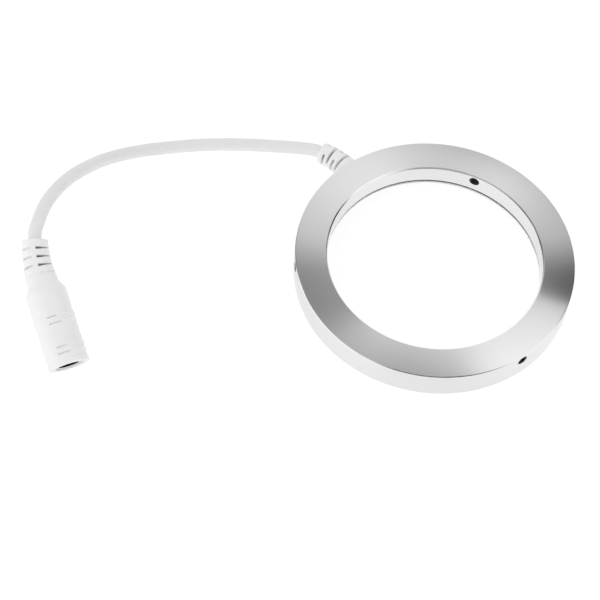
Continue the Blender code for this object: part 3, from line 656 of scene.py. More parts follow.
cutters = []
tap_length = RING_OUTER_RADIUS - RING_BORE_RADIUS + 2 * OVERRUN
tap_rows = round(tap_length / THREAD_PITCH * THREAD_ROWS_PER_PITCH)
for number, angle in enumerate(SCREW_ANGLES, start=1):
    tap_rings = [threaded_ring(tap_length * i / tap_rows, HOLE_CREST_RADIUS, HOLE_ROOT_RADIUS,
                               HOLE_ROOT_RADIUS) for i in range(tap_rows + 1)]
    start = bearing(angle) * (RING_BORE_RADIUS - OVERRUN) + Vector((0, 0, SCREW_HEIGHT))
    tap_axes = axis_frame(start, bearing(angle))
    cutters.append(cutter(f"tap_{number}", skin(f"tap_{number}", tap_rings), tap_axes))
exit_profile = [(EXIT_HOLE_RADIUS, -OUTER_WALL - OVERRUN), (EXIT_HOLE_RADIUS, OVERRUN)]
cutters.append(cutter("lead_hole", lathe("lead_hole", exit_profile, EXIT_HOLE_FACETS), exit_axes))
side = POCKET_HALF_WIDTH
pocket_floor = BOARD_BOTTOM - EXIT_HEIGHT
pocket_section = [(-side, pocket_floor), (side, pocket_floor), (side, side), (-side, side)]
pocket_rings = [[(x, y, z) for x, y in pocket_section] for z in (POCKET_END, SEAT_GAP - OUTER_WALL)]
cutters.append(cutter("wire_pocket", skin("wire_pocket", pocket_rings), exit_axes))

housing = add_object("turned_housing", ring_mesh)
for tool in cutters:
    cut = housing.modifiers.new(tool.name, "BOOLEAN")
    cut.operation = "DIFFERENCE"
    cut.solver = "EXACT"
    cut.material_mode = "TRANSFER"
    cut.object = tool
bpy.context.view_layer.update()
ring_mesh = bpy.data.meshes.new_from_object(housing.evaluated_get(bpy.context.evaluated_depsgraph_get()))
for tool in [housing, *cutters]:
    bpy.data.objects.remove(tool, do_unlink=True)
ring_mesh.shade_smooth()
ring_mesh.set_sharp_from_angle(angle=math.radians(SHARP_ANGLE))
add_piece("turned_housing", ring_mesh, "ring_housing")
print("housing faces:", len(ring_mesh.polygons), "materials:", [m.name for m in ring_mesh.materials])

# %% [markdown]
# Each set screw is a short threaded rod with no head. A hexagon socket of 1.5 mm goes 2 mm deep into
# its outer end, and its inner end has a cup whose rim bites into what it holds. The screw is a stack of
# rings again: down the cup, up the thread, and down the walls of the hexagon.

# %% The set screws
SCREW_CREST = 1.35 * MM
SCREW_ROOT = 1.08 * MM
SCREW_LENGTH = 6.0 * MM
SCREW_INNER_RECESS = 1.0 * MM
SCREW_END_CHAMFER = 0.3 * MM
CUP_RADIUS = 0.8 * MM
CUP_DEPTH = 0.35 * MM
HEX_WIDTH = 1.5 * MM
HEX_DEPTH = 2.0 * MM
# The hexagon's mouth is this much wider, and this deep
HEX_MOUTH_SHARE = 1.12
HEX_MOUTH_DEPTH = 0.08 * MM
DRILL_POINT = 0.4 * MM
# A hollow's point is closed by a circle as small as this
TIP_RADIUS = 0.05 * MM


def hexagon(scale, height):
    """A ring of points on a hexagon, whose width across flats is scaled."""
    def to_the_flat(turn):
        from_middle = (turn + 1 / 12) % (1 / 6) - 1 / 12
        return scale * HEX_WIDTH / 2 / math.cos(2 * math.pi * from_middle)
    return ring_of(to_the_flat, height, THREAD_COLUMNS)


half = SCREW_LENGTH / 2
end_radius = SCREW_CREST - SCREW_END_CHAMFER
screw_rings = [circle(TIP_RADIUS, CUP_DEPTH - half, THREAD_COLUMNS),
               circle(CUP_RADIUS, -half, THREAD_COLUMNS)]
thread_rows = round(SCREW_LENGTH / THREAD_PITCH * THREAD_ROWS_PER_PITCH)
for i in range(thread_rows + 1):
    height = SCREW_LENGTH * i / thread_rows - half
    from_end = half - abs(height)
    screw_rings.append(threaded_ring(height, SCREW_ROOT, SCREW_CREST, end_radius + from_end))
screw_rings += [hexagon(HEX_MOUTH_SHARE, half), hexagon(1.0, half - HEX_MOUTH_DEPTH),
                hexagon(1.0, half - HEX_DEPTH),
                circle(TIP_RADIUS, half - HEX_DEPTH - DRILL_POINT, THREAD_COLUMNS)]
screw_mesh = skin("set_screw", screw_rings)
for number, angle in enumerate(SCREW_ANGLES, start=1):
    middle = bearing(angle) * (RING_BORE_RADIUS + SCREW_INNER_RECESS + half)
    middle.z = SCREW_HEIGHT
    add_piece(f"threaded_set_screw_{number}", screw_mesh, f"grub_screw_{number}",
              black_oxide_steel, f"set_screw_{number}", axis_frame(middle, bearing(angle)))
print("set screw faces:", len(screw_mesh.polygons))

# %% [markdown]
# A strain relief is a soft sleeve whose slots let it bend bit by bit instead of all at the housing's
# edge. Its slots have soft moulded edges, which a boolean would leave sharp. So the sleeve is a stack
# of rings whose radius falls to the slot's floor inside each slot, with a rounded lip. The rings are
# crowded where the slots' walls are. A slot that narrows towards its middle pulls the rings' points
# together there, so that its walls stay crisp, and the whole stack is bent at the end.

# %% Slotted sleeves
SLEEVE_COLUMNS = 160
SLOT_WALL = 0.05 * MM
SLOT_CORNER = 0.2 * MM
# Where the rings of a slot's lip lie, as shares of the lip's width outside the slot's wall
LIP_SHARES = (1.0, 0.7, 0.4, 0.15, 0.0)
# How far from a slot's middle its rings are pulled together
PINCH_REACH = 1.0 * MM
# Faces deeper than this are a slot's floor, painted a darker grey as shade
SLOT_SHADE_DEPTH = 1.05 * MM


# A slot is (height, angle, width, sweep in degrees, radius of its floor, share of its width left in
# its middle)
def slot_depth(height, angle, radius, slot, lip):
    """How deep the surface lies under the sleeve's outer radius, at a height and an angle in degrees."""
    middle, slot_angle, width, sweep, floor, _ = slot
    turn = abs((angle - slot_angle + 180) % 360 - 180)
    beside = abs(height - middle) - width / 2 + SLOT_CORNER
    along = radius * math.radians(turn - sweep / 2) + SLOT_CORNER
    distance = math.hypot(max(beside, 0), max(along, 0)) + min(max(beside, along), 0) - SLOT_CORNER
    if distance >= lip:
        return 0.0
    if distance >= 0:
        return lip * (1 - math.sqrt(1 - (1 - distance / lip) ** 2))
    return lip + (radius - floor - lip) * min(-distance / SLOT_WALL, 1)


def pinched_height(height, angle, slots):
    """Where a ring's point goes when the slot beside it is narrower in its middle than at its ends."""
    for middle, slot_angle, width, sweep, _, pinch in slots:
        turn = abs((angle - slot_angle + 180) % 360 - 180)
        from_middle = abs(height - middle)
        if turn < sweep / 2 and from_middle < PINCH_REACH:
            half = width / 2
            narrow = half * (pinch + (1 - pinch) * turn / (sweep / 2))
            new = float(np.interp(from_middle, (0, half, PINCH_REACH), (0, narrow, PINCH_REACH)))
            return middle + math.copysign(new, height - middle)
    return height


def slot_rows(slot, lip):
    """Heights of the rings that a slot needs at its two lips, its walls and its floor."""
    middle, _, width, _, _, _ = slot
    wall = middle - width / 2
    lower = [wall - share * lip for share in LIP_SHARES] + [wall + SLOT_WALL]
    return lower + [middle] + [2 * middle - height for height in reversed(lower)]


def slotted_sleeve(name, before, outline, after, slots, lip, bend):
    """Before, outline and after are (radius, height) points. Only the outline has slots."""
    heights = [height for _, height in outline]
    radii = [radius for radius, _ in outline]
    rows = sorted(set(heights + [height for slot in slots for height in slot_rows(slot, lip)]))
    rings = [circle(radius, height, SLEEVE_COLUMNS) for radius, height in before]
    depths = [0.0] * (SLEEVE_COLUMNS * len(before))
    for height in rows:
        radius = float(np.interp(height, heights, radii))
        near = [slot for slot in slots if abs(height - slot[0]) < slot[2] / 2 + lip]
        ring = []
        for i in range(SLEEVE_COLUMNS):
            angle = 360 * i / SLEEVE_COLUMNS
            depth = max((slot_depth(height, angle, radius, slot, lip) for slot in near), default=0)
            depths.append(depth)
            ring.append(((radius - depth) * math.cos(math.radians(angle)),
                         (radius - depth) * math.sin(math.radians(angle)),
                         pinched_height(height, angle, slots)))
        rings.append(ring)
    rings += [circle(radius, height, SLEEVE_COLUMNS) for radius, height in after]
    depths += [0.0] * (SLEEVE_COLUMNS * len(after))
    start, length, side, angle = bend
    mesh = skin(name, [[bent_point(Vector(point), start, length, side, angle) for point in ring]
                       for ring in rings])
    mesh.materials.append(moulded_pvc)
    # The slots' floors take a darker grey, which is painted shade
    mesh.materials.append(small["slot_painted_shade_pvc"])
    for face in mesh.polygons:
        face.material_index = 1 if min(depths[v] for v in face.vertices) > SLOT_SHADE_DEPTH else 0
    return mesh


# %% [markdown]
# The sleeve on the ring is a short cone, pressed with its neck into the housing. It has four pairs of
# slots, each a quarter turn from the last. Where the cord comes out of a moulded sleeve, the plastic
# leaves a fine groove round it.

# %% The strain relief on the ring
RELIEF_ROOT_RADIUS = 3.5 * MM
RELIEF_ROOT_BREAK = 0.15 * MM
RELIEF_TIP_RADIUS = 3.1 * MM
RELIEF_NECK_RADIUS = 2.3 * MM
RELIEF_NECK_END = -2.15 * MM
RELIEF_NECK_CHAMFER = 0.1 * MM
RELIEF_EDGE = 0.9 * MM
RELIEF_CORE = 2.0 * MM
RELIEF_LIP = 0.1 * MM
RELIEF_SEAT = 0.05 * MM
ROUND_STEPS = 5
# The groove round the cord, on both sleeves
CORD_GROOVE = 0.08 * MM
CORD_GROOVE_DEPTH = 0.5 * MM

RELIEF_SLOT_PAIRS = 4
RELIEF_SLOT_WIDTH = 0.8 * MM
RELIEF_FIRST_SLOT = 2.75 * MM
RELIEF_SLOT_PITCH = 1.87 * MM
# Angle and sweep of a slot
RELIEF_TOP_SLOT = (82.0, 150.0)
RELIEF_SIDE_SLOT = (-8.0, 120.0)
relief_slots = []
for number in range(RELIEF_SLOT_PAIRS):
    slot_angle, sweep = RELIEF_TOP_SLOT if number % 2 == 0 else RELIEF_SIDE_SLOT
    height = RELIEF_FIRST_SLOT + number * RELIEF_SLOT_PITCH
    for turn in (0, 180):
        relief_slots.append((height, slot_angle + turn, RELIEF_SLOT_WIDTH, sweep, RELIEF_CORE, 1.0))
groove_radius = CORD_RADIUS + CORD_GROOVE
tip_end = soften([(RELIEF_TIP_RADIUS, RELIEF_LENGTH - 1.2 * RELIEF_EDGE),
                  (RELIEF_TIP_RADIUS, RELIEF_LENGTH), (groove_radius, RELIEF_LENGTH)],
                 RELIEF_EDGE, steps=ROUND_STEPS)
groove = [(groove_radius, RELIEF_LENGTH - CORD_GROOVE_DEPTH)]
neck = [(RELIEF_NECK_RADIUS - RELIEF_NECK_CHAMFER, RELIEF_NECK_END),
        (RELIEF_NECK_RADIUS, RELIEF_NECK_END + RELIEF_NECK_CHAMFER),
        (RELIEF_NECK_RADIUS, RELIEF_SEAT), (RELIEF_ROOT_RADIUS - RELIEF_ROOT_BREAK, RELIEF_SEAT)]
cone = [(RELIEF_ROOT_RADIUS, RELIEF_SEAT + RELIEF_ROOT_BREAK), tip_end[0]]
relief_mesh = slotted_sleeve("slotted_strain_relief", neck, cone, tip_end[1:] + groove, relief_slots,
                             RELIEF_LIP, (0, RELIEF_LENGTH, *relief_bend))
add_piece("slotted_strain_relief", relief_mesh, "ring_strain_relief", place=exit_axes)
print("strain relief faces:", len(relief_mesh.polygons))

# %% [markdown]
# The connector's body is one soft moulding. Its outline, from the mouth on, is a rim, a smooth barrel
# with two pairs of low beads for grip, a shoulder, and a slim tail that closes round the cord. Beads
# are waves of a squared sine, which join the barrel without a corner.

# %% The outline of the connector's body
JACK_BODY_RADIUS = 5.55 * MM
JACK_RIM_RADIUS = 5.7 * MM
JACK_BORE_RADIUS = 3.9 * MM
JACK_BORE_END = 12.3 * MM
JACK_BODY_LENGTH = 20.4 * MM
JACK_SHOULDER_LENGTH = 3.1 * MM
JACK_NECK_RADIUS = 4.3 * MM
JACK_TAIL_RADIUS = 3.5 * MM
JACK_RIM_WIDTH = 1.3 * MM
JACK_RIM_ROUND = 0.4 * MM
JACK_RIM_FALL = 0.1 * MM
JACK_RIM_FOOT = 0.6 * MM
JACK_MOUTH_CHAMFER = 0.12 * MM
BEAD_PLACES = (3.25 * MM, 5.05 * MM, 11.6 * MM, 13.4 * MM)
BEAD_HEIGHT = 0.25 * MM
BEAD_WIDTH = 0.9 * MM
BEAD_STEPS = 10
SHOULDER_STEPS = 12
JACK_TAIL_EDGE = 0.25 * MM
# A height below which a point still belongs to the flat mouth
MOUTH_LEVEL = 0.05 * MM

mouth = [(JACK_BORE_RADIUS, JACK_BORE_END), (JACK_BORE_RADIUS, JACK_MOUTH_CHAMFER),
         (JACK_BORE_RADIUS + JACK_MOUTH_CHAMFER, 0)]
rim = soften([(JACK_BORE_RADIUS + 2 * JACK_MOUTH_CHAMFER, 0), (JACK_RIM_RADIUS, 0),
              (JACK_RIM_RADIUS, JACK_RIM_WIDTH), (JACK_BODY_RADIUS, JACK_RIM_WIDTH + JACK_RIM_FALL),
              (JACK_BODY_RADIUS, JACK_RIM_WIDTH + JACK_RIM_FOOT)], JACK_RIM_ROUND, steps=ROUND_STEPS)
# Points up to the rim's corner go down or across, so they come before the outline's rising points
rim_turn = next(i for i, (_, height) in enumerate(rim) if height > MOUTH_LEVEL)
barrel = rim[rim_turn:]
for bead in BEAD_PLACES:
    for i in range(BEAD_STEPS + 1):
        share = i / BEAD_STEPS
        barrel.append((JACK_BODY_RADIUS + BEAD_HEIGHT * math.sin(math.pi * share) ** 2,
                       bead + BEAD_WIDTH * (share - 0.5)))
for i in range(SHOULDER_STEPS + 1):
    share = i / SHOULDER_STEPS
    fall = share * share * (3 - 2 * share)
    barrel.append((JACK_BODY_RADIUS + (JACK_NECK_RADIUS - JACK_BODY_RADIUS) * fall,
                   JACK_BODY_LENGTH + JACK_SHOULDER_LENGTH * share))
tail_end = soften([(JACK_TAIL_RADIUS, JACK_LENGTH - 2 * JACK_TAIL_EDGE), (JACK_TAIL_RADIUS, JACK_LENGTH),
                   (groove_radius, JACK_LENGTH)], JACK_TAIL_EDGE, steps=ROUND_STEPS)
barrel.append(tail_end[0])
print("outline points of the body:", len(mouth) + len(rim[:rim_turn]) + len(barrel) + len(tail_end) - 1)

# %% [markdown]
# The tail is slotted as the sleeve on the ring is, so that it bends with the cord, and each bead has a
# short notch at its foot on the upper side. Both are slots of the same kind, cut into the outline.

# %% The slots and the body itself
JACK_CORE = 1.95 * MM
JACK_LIP = 0.12 * MM
JACK_SLOT_PAIRS = 4
JACK_SLOT_FROM_TAIL = 2.6 * MM
JACK_SLOT_PITCH = 2.45 * MM
JACK_SLOT_WIDTH = 0.8 * MM
JACK_SLOT_ANGLE = -14.5
JACK_SLOT_SWEEP = 158.0
JACK_SLOT_PINCH = 0.35
# The slots on the left are shallower
JACK_SHALLOW_CORE = 2.95 * MM
# The last pair is only a shallow step where the slotted stretch begins
JACK_STEP_FLOOR = 3.85 * MM
pair_floors = [(JACK_SHALLOW_CORE, JACK_CORE)] * (JACK_SLOT_PAIRS - 1)
pair_floors.append((JACK_STEP_FLOOR, JACK_STEP_FLOOR))
jack_slots = []
for number, floors in enumerate(pair_floors):
    height = JACK_LENGTH - JACK_SLOT_FROM_TAIL - number * JACK_SLOT_PITCH
    for turn, floor in zip((0, 180), floors):
        jack_slots.append((height, JACK_SLOT_ANGLE + turn, JACK_SLOT_WIDTH, JACK_SLOT_SWEEP, floor,
                           JACK_SLOT_PINCH))
# A short fine notch at the mouth's side of each bead: (angle, sweep)
GRIP_NOTCHES = [(82.0, 32.0), (79.0, 24.0), (83.0, 34.0), (79.0, 24.0)]
NOTCH_FROM_BEAD = 0.25 * MM
NOTCH_WIDTH = 0.36 * MM
NOTCH_DEPTH = 0.5 * MM
for bead, (notch_angle, sweep) in zip(BEAD_PLACES, GRIP_NOTCHES):
    jack_slots.append((bead - NOTCH_FROM_BEAD, notch_angle, NOTCH_WIDTH, sweep,
                       JACK_BODY_RADIUS - NOTCH_DEPTH, 1.0))
jack_mesh = slotted_sleeve(
    "moulded_connector_body", mouth + rim[:rim_turn], barrel,
    tail_end[1:] + [(groove_radius, JACK_LENGTH - CORD_GROOVE_DEPTH)],
    jack_slots, JACK_LIP, (JACK_BEND_START, jack_bend_length, *jack_bend))
jack_mesh.transform(jack_axes)
jack_body = add_piece("moulded_connector_body", jack_mesh, "jack_body")
print("connector faces:", len(jack_mesh.polygons))

# %% [markdown]
# Inside the mouth sits a hard nylon insulator with the socket for a 5.5 mm plug. The socket's faces are
# painted black as shade, so it looks like a black hole. Insulator and painted shade are one turned mesh
# with two materials.

# %% The socket
SOCKET_RADIUS = 2.75 * MM
SOCKET_FLOOR = 10.2 * MM
SOCKET_LEAD_IN = 0.2 * MM
PIN_HOLE_RADIUS = 1.2 * MM
INSULATOR_RADIUS = 3.6 * MM
INSULATOR_RIM = 0.3 * MM
INSULATOR_EDGE = 0.2 * MM
INSULATOR_START = 0.5 * MM
INSULATOR_END = 12.0 * MM
INSULATOR_FACETS = 96
# Inside this radius the socket's faces are black: painted shade
SOCKET_SHADE_RADIUS = 3.0 * MM
# What a measured radius or place may be off by when faces are sorted
SLACK = 0.01 * MM

insulator_outline = [
    (INSULATOR_RADIUS - INSULATOR_RIM, INSULATOR_END), (INSULATOR_RADIUS, INSULATOR_END),
    (INSULATOR_RADIUS, INSULATOR_START), (SOCKET_SHADE_RADIUS, INSULATOR_START),
    (SOCKET_RADIUS, INSULATOR_START + SOCKET_LEAD_IN), (SOCKET_RADIUS, SOCKET_FLOOR),
    (PIN_HOLE_RADIUS, SOCKET_FLOOR)]
insulator_mesh = lathe("nylon_insulator", soften(insulator_outline, INSULATOR_EDGE, steps=4),
                       INSULATOR_FACETS)
# The socket's faces take the black of the painted shade
two_materials(insulator_mesh, moulded_nylon, socket_shade_nylon,
              lambda corners: widest(corners) < SOCKET_SHADE_RADIUS + SLACK)
print("insulator faces:", len(insulator_mesh.polygons))

# %% [markdown]
# The centre pin is 2 mm across with a rounded tip. A bowed spring at the lower side of the socket
# presses on the plug's sleeve. The spring is a strip of metal: a flat section with broken edges, moved
# along the socket while its height follows a half wave.

# %% The contacts
PIN_RADIUS = 0.98 * MM
PIN_ROUND = 0.45 * MM
PIN_TIP_RADIUS = 0.2 * MM
PIN_FOOT_RADIUS = 0.5 * MM
PIN_START = 1.5 * MM
PIN_END = 9.9 * MM
PIN_FACETS = 48
pin_outline = [(PIN_TIP_RADIUS, PIN_START), (PIN_RADIUS, PIN_START), (PIN_RADIUS, PIN_END),
               (PIN_FOOT_RADIUS, PIN_END)]
pin_mesh = lathe("centre_pin", soften(pin_outline, PIN_ROUND, steps=6), PIN_FACETS)

SPRING_LENGTH = 6.5 * MM
SPRING_WIDTH = 1.2 * MM
SPRING_THICKNESS = 0.25 * MM
SPRING_EDGE = 0.05 * MM
SPRING_BOW = 0.35 * MM
SPRING_STEPS = 16
spring_wall = math.sqrt(SOCKET_RADIUS ** 2 - SPRING_WIDTH ** 2 / 4) - SEAT_GAP / 2
outer_side = SPRING_WIDTH / 2
inner_side = outer_side - SPRING_EDGE
spring_rings = []
for i in range(SPRING_STEPS + 1):
    share = i / SPRING_STEPS
    height = PIN_END - SPRING_LENGTH * share
    low = SPRING_BOW * math.sin(math.pi * share) - spring_wall
    high = low + SPRING_THICKNESS
    section = [(-outer_side, low + SPRING_EDGE), (-inner_side, low), (inner_side, low),
               (outer_side, low + SPRING_EDGE), (outer_side, high - SPRING_EDGE), (inner_side, high),
               (-inner_side, high), (-outer_side, high - SPRING_EDGE)]
    spring_rings.append([(x, y, height) for x, y in section])
spring_mesh = skin("contact_spring", spring_rings)
print("pin and spring faces:", len(pin_mesh.polygons), len(spring_mesh.polygons))

# %% [markdown]
# The insulator, the pin and the spring were made upright, as the body was, so each mesh is moved onto
# the connector's axes.

# %% The connector on the lead
for name, mesh, slot, replaced, material in (
        ("nylon_insulator", insulator_mesh, "white_nylon", "jack_insulator", None),
        ("centre_pin", pin_mesh, "nickel_plate", "jack_pin", nickel_plate),
        ("contact_spring", spring_mesh, "nickel_plate", "jack_contact_spring", nickel_plate)):
    mesh.transform(jack_axes)
    add_piece(name, mesh, replaced, material)

# %% [markdown]
# Under the lamps lies the frosted cover, a thin ring with a flat rim under the inner wall and a cone
# that runs down to a step in the outer wall. The rim's flat top under the wall is painted black, as
# painted shade for the gap there, and shows as a fine dark line. The board above the cover is a flat
# ring of glass-fibre board.

# %% The frosted cover and the board
COVER_THICKNESS = 0.8 * MM
COVER_BORE_MARGIN = 0.15 * MM
COVER_EDGE = 0.1 * MM
BOARD_INNER = 31.5 * MM
BOARD_OUTER = 36.4 * MM
BOARD_TOP = 4.4 * MM
BOARD_EDGE = 0.05 * MM

cover_top = INNER_WALL_BOTTOM - SEAT_GAP
cover_seat = SEAT_HEIGHT - SEAT_GAP
cover_outline = [
    (seat_radius - SEAT_GAP, cover_seat), (seat_radius - SEAT_GAP, cover_seat - COVER_THICKNESS),
    (channel_inner, cover_top - COVER_THICKNESS),
    (RING_BORE_RADIUS + COVER_BORE_MARGIN, cover_top - COVER_THICKNESS),
    (RING_BORE_RADIUS + COVER_BORE_MARGIN, cover_top), (channel_inner, cover_top)]
cover_mesh = lathe("frosted_cover", soften(cover_outline, COVER_EDGE, shut=True), RING_FACETS, shut=True)


def under_wall(corners):
    """Whether a face lies on the flat top of the cover's rim, which is painted black as shade."""
    return corners[:, 2].min() > cover_top - COVER_EDGE and widest(corners) < channel_inner + COVER_EDGE


# The rim's faces under the wall take the black of the painted shade
two_materials(cover_mesh, frosted_acrylic, small["rim_painted_shade"], under_wall)
add_piece("frosted_cover", cover_mesh, "diffuser_ring")

board_outline = [(BOARD_OUTER, BOARD_TOP), (BOARD_OUTER, BOARD_BOTTOM), (BOARD_INNER, BOARD_BOTTOM),
                 (BOARD_INNER, BOARD_TOP)]
board_mesh = lathe("lamp_board", soften(board_outline, BOARD_EDGE, shut=True), RING_FACETS // 2,
                   shut=True)
add_piece("lamp_board", board_mesh, "led_board", white_solder_mask)
print("cover and board faces:", len(cover_mesh.polygons), len(board_mesh.polygons))

# %% [markdown]
# Each lamp is a flat white package with a round cup full of yellow phosphor, which makes a blue chip's
# light white. Nothing is switched on in this scene, so the lamps don't glow. The packages and the
# resistors have rounded corners, so both are stacks of rounded rectangles.

# %% The lamps
LAMP_COUNT = 24
LAMP_STEP = 360 / LAMP_COUNT
LAMP_RADIUS = 33.95 * MM
LAMP_FIRST_ANGLE = EXIT_ANGLE + LAMP_STEP / 2
LAMP_SIZE = (2.8 * MM, 3.5 * MM, 0.7 * MM)
LAMP_EDGE = 0.05 * MM
# How much narrower the package is at its top, and where its edges begin and end
LAMP_TOP_TAPER = 0.2 * MM
LAMP_TAPER = 0.1 * MM
LAMP_TOP_CORNER = 0.2 * MM
LAMP_CORNER = 0.25 * MM
CUP_WIDTH = 2.4 * MM
CUP_TAPER = 0.2 * MM
CUP_HOLLOW = 0.15 * MM
SOLDER_GAP = 0.15 * MM
OUTLINE_POINTS = 48
HALVINGS = 30


def rounded_rectangle(size_x, size_y, corner, height):
    """A ring of points round a rectangle with round corners, spread evenly by angle."""
    ring = []
    for across, up, _ in circle(1, 0, OUTLINE_POINTS, 0.5):
        # The edge lies where a point that moves out this way leaves the outline, found by halving
        low, high = 0.0, size_x + size_y
        for _ in range(HALVINGS):
            reach = (low + high) / 2
            beyond_x = max(abs(across) * reach - size_x / 2 + corner, 0)
            beyond_y = max(abs(up) * reach - size_y / 2 + corner, 0)
            if math.hypot(beyond_x, beyond_y) < corner:
                low = reach
            else:
                high = reach
        ring.append((across * low, up * low, height))
    return ring


def on_the_board(name, mesh, replaced, angle, tall):
    """Puts a lamp or a resistor under the board, at an angle round the ring."""
    middle = bearing(angle) * LAMP_RADIUS + Vector((0, 0, BOARD_BOTTOM - SOLDER_GAP - tall / 2))
    turn = Matrix.Rotation(math.radians(angle), 4, "Z")
    add_piece(name, mesh, replaced, place=Matrix.Translation(middle) @ turn)


radial, along, tall = LAMP_SIZE
package_rings = [rounded_rectangle(radial - taper, along - taper, corner, height)
                 for taper, corner, height in ((LAMP_TOP_TAPER, LAMP_TOP_CORNER, tall / 2),
                                               (LAMP_TAPER, LAMP_TOP_CORNER, tall / 2 - LAMP_EDGE),
                                               (0, LAMP_CORNER, LAMP_EDGE - tall / 2),
                                               (LAMP_TAPER, LAMP_CORNER, -tall / 2))]
package_rings += [circle(CUP_WIDTH / 2, -tall / 2, OUTLINE_POINTS, 0.5),
                  circle((CUP_WIDTH - CUP_TAPER) / 2, CUP_HOLLOW - tall / 2, OUTLINE_POINTS, 0.5)]
lamp_mesh = skin("lamp", package_rings)
two_materials(lamp_mesh, small["lamp_package"], small["yellow_phosphor"],
              lambda corners: widest(corners) < CUP_WIDTH / 2)
for number in range(LAMP_COUNT):
    on_the_board(f"lamp_{number + 1:02}", lamp_mesh, f"led_{number + 1:02}",
                 LAMP_FIRST_ANGLE + LAMP_STEP * number, tall)
print("lamps:", LAMP_COUNT)

# %% [markdown]
# Three lamps share one resistor, which stands half-way between the first two of them. It is a black
# ceramic chip, and a tinned cap wraps each of its ends. The caps stand a little proud of the chip.

# %% The resistors
LAMPS_PER_RESISTOR = 3
RESISTOR_COUNT = LAMP_COUNT // LAMPS_PER_RESISTOR
RESISTOR_SIZE = (1.25 * MM, 2.0 * MM, 0.5 * MM)
RESISTOR_EDGE = 0.05 * MM
RESISTOR_CORNER = 0.06 * MM
RESISTOR_CAP = 0.38 * MM
RESISTOR_CAP_STEP = 0.03 * MM

radial, along, tall = RESISTOR_SIZE
end = along / 2
cap = end - RESISTOR_CAP
chip_rings = []
for place_along, shrink in ((-end, RESISTOR_EDGE), (RESISTOR_EDGE - end, 0), (-cap, 0),
                            (-cap, RESISTOR_CAP_STEP), (cap, RESISTOR_CAP_STEP), (cap, 0),
                            (end - RESISTOR_EDGE, 0), (end, RESISTOR_EDGE)):
    section = rounded_rectangle(radial - 2 * shrink, tall - 2 * shrink, RESISTOR_CORNER, 0)
    chip_rings.append([(x, place_along, y) for x, y, _ in section])
chip_mesh = skin("chip_resistor", chip_rings)
two_materials(chip_mesh, small["black_resistor_glaze"], bright_tin,
              lambda corners: abs(corners[:, 1].mean()) > cap - SLACK)
for number in range(RESISTOR_COUNT):
    on_the_board(f"chip_resistor_{number + 1}", chip_mesh, f"resistor_{number + 1}",
                 LAMP_FIRST_ANGLE + LAMP_STEP * (LAMPS_PER_RESISTOR * number + 0.5), tall)
print("resistors:", RESISTOR_COUNT)

# %% [markdown]
# Two cores run from the sleeve's inner end through a pocket in the roof to their joints on the board.
# Each has a coloured PVC skin, which is stripped back at the joint to show a little tinned wire.

# %% Wires and solder
WIRE_RADIUS = 0.5 * MM
WIRE_CORE_RADIUS = 0.25 * MM
WIRE_START = -2.45 * MM
WIRE_STRIP = -4.6 * MM
WIRE_END = -5.15 * MM
WIRE_SPACING = 1.8 * MM
WIRE_EDGE = 0.08 * MM
WIRE_FACETS = 24
SOLDER_RADIUS = 0.6 * MM
SOLDER_HEIGHT = 0.5 * MM
SOLDER_PLACE = -5.9 * MM
# The dome of a joint, as shares of its radius and its height
SOLDER_DOME = [(1.0, 0.0), (0.9, 0.45), (0.6, 0.85), (0.1, 1.0)]
# How far under the stripped edge the tinned wire's faces begin
STRIP_MARGIN = 0.05 * MM

solder_outline = [(SOLDER_RADIUS * out, SOLDER_HEIGHT * up) for out, up in SOLDER_DOME]
solder_mesh = lathe("solder_joint", soften(solder_outline, SOLDER_RADIUS / 4), WIRE_FACETS)
wire_outline = [(WIRE_CORE_RADIUS, WIRE_END), (WIRE_CORE_RADIUS, WIRE_STRIP), (WIRE_RADIUS, WIRE_STRIP),
                (WIRE_RADIUS, WIRE_START)]
board_level = BOARD_TOP - EXIT_HEIGHT + SOLDER_GAP
for name, colour, across in (("positive", "red", WIRE_SPACING / 2),
                             ("negative", "black", -WIRE_SPACING / 2)):
    wire_mesh = lathe(f"{colour}_wire", soften(wire_outline, WIRE_EDGE), WIRE_FACETS)
    two_materials(wire_mesh, small[f"{colour}_wire_pvc"], bright_tin,
                  lambda corners: corners[:, 2].mean() < WIRE_STRIP - STRIP_MARGIN)
    wire_place = exit_axes @ Matrix.Translation((across, board_level + WIRE_RADIUS, 0))
    add_piece(f"{colour}_wire", wire_mesh, f"wire_{name}", place=wire_place)
    joint_place = exit_axes @ Vector((across, board_level, SOLDER_PLACE))
    add_piece(f"solder_joint_{colour}", solder_mesh, f"solder_{name}", bright_tin,
              place=Matrix.Translation(joint_place))
print("wire faces:", len(wire_mesh.polygons), "joint faces:", len(solder_mesh.polygons))

# %% [markdown]
# The photograph's background is plain white, and so is the floor here. To the camera it is a pale
# floor that glows, so that it comes out at exactly white but for a faint shade close to the object. In
# the metal's reflections, and for the light that it throws on the object, it is plain white. Seen from
# below it is clear, so the lamps' side of the ring can be looked at too.

# %% The floor
FLOOR_HALF = 1.5
FLOOR_DROP = 0.05 * MM
FLOOR_PAINT = (0.45, 0.45, 0.45, 1)
FLOOR_GLOW = 0.69
FLOOR_WHITE = 1.0

floor_paint, tree = new_tree("floor_paint")
rays = add_node(tree, "ShaderNodeLightPath")
painted = add_node(tree, "ShaderNodeBsdfDiffuse", {"Color": FLOOR_PAINT})
glow = add_node(tree, "ShaderNodeEmission", {"Strength": FLOOR_GLOW})
seen = add_node(tree, "ShaderNodeAddShader", {0: painted.outputs[0], 1: glow.outputs[0]})
white = add_node(tree, "ShaderNodeEmission", {"Strength": FLOOR_WHITE})
upper = add_node(tree, "ShaderNodeMixShader", {0: rays.outputs["Is Camera Ray"], 1: white.outputs[0],
                                               2: seen.outputs[0]})
under = add_node(tree, "ShaderNodeNewGeometry").outputs["Backfacing"]
clear = add_node(tree, "ShaderNodeBsdfTransparent")
both = add_node(tree, "ShaderNodeMixShader", {0: under, 1: upper.outputs[0], 2: clear.outputs[0]})
add_node(tree, "ShaderNodeOutputMaterial", {"Surface": both.outputs[0]})

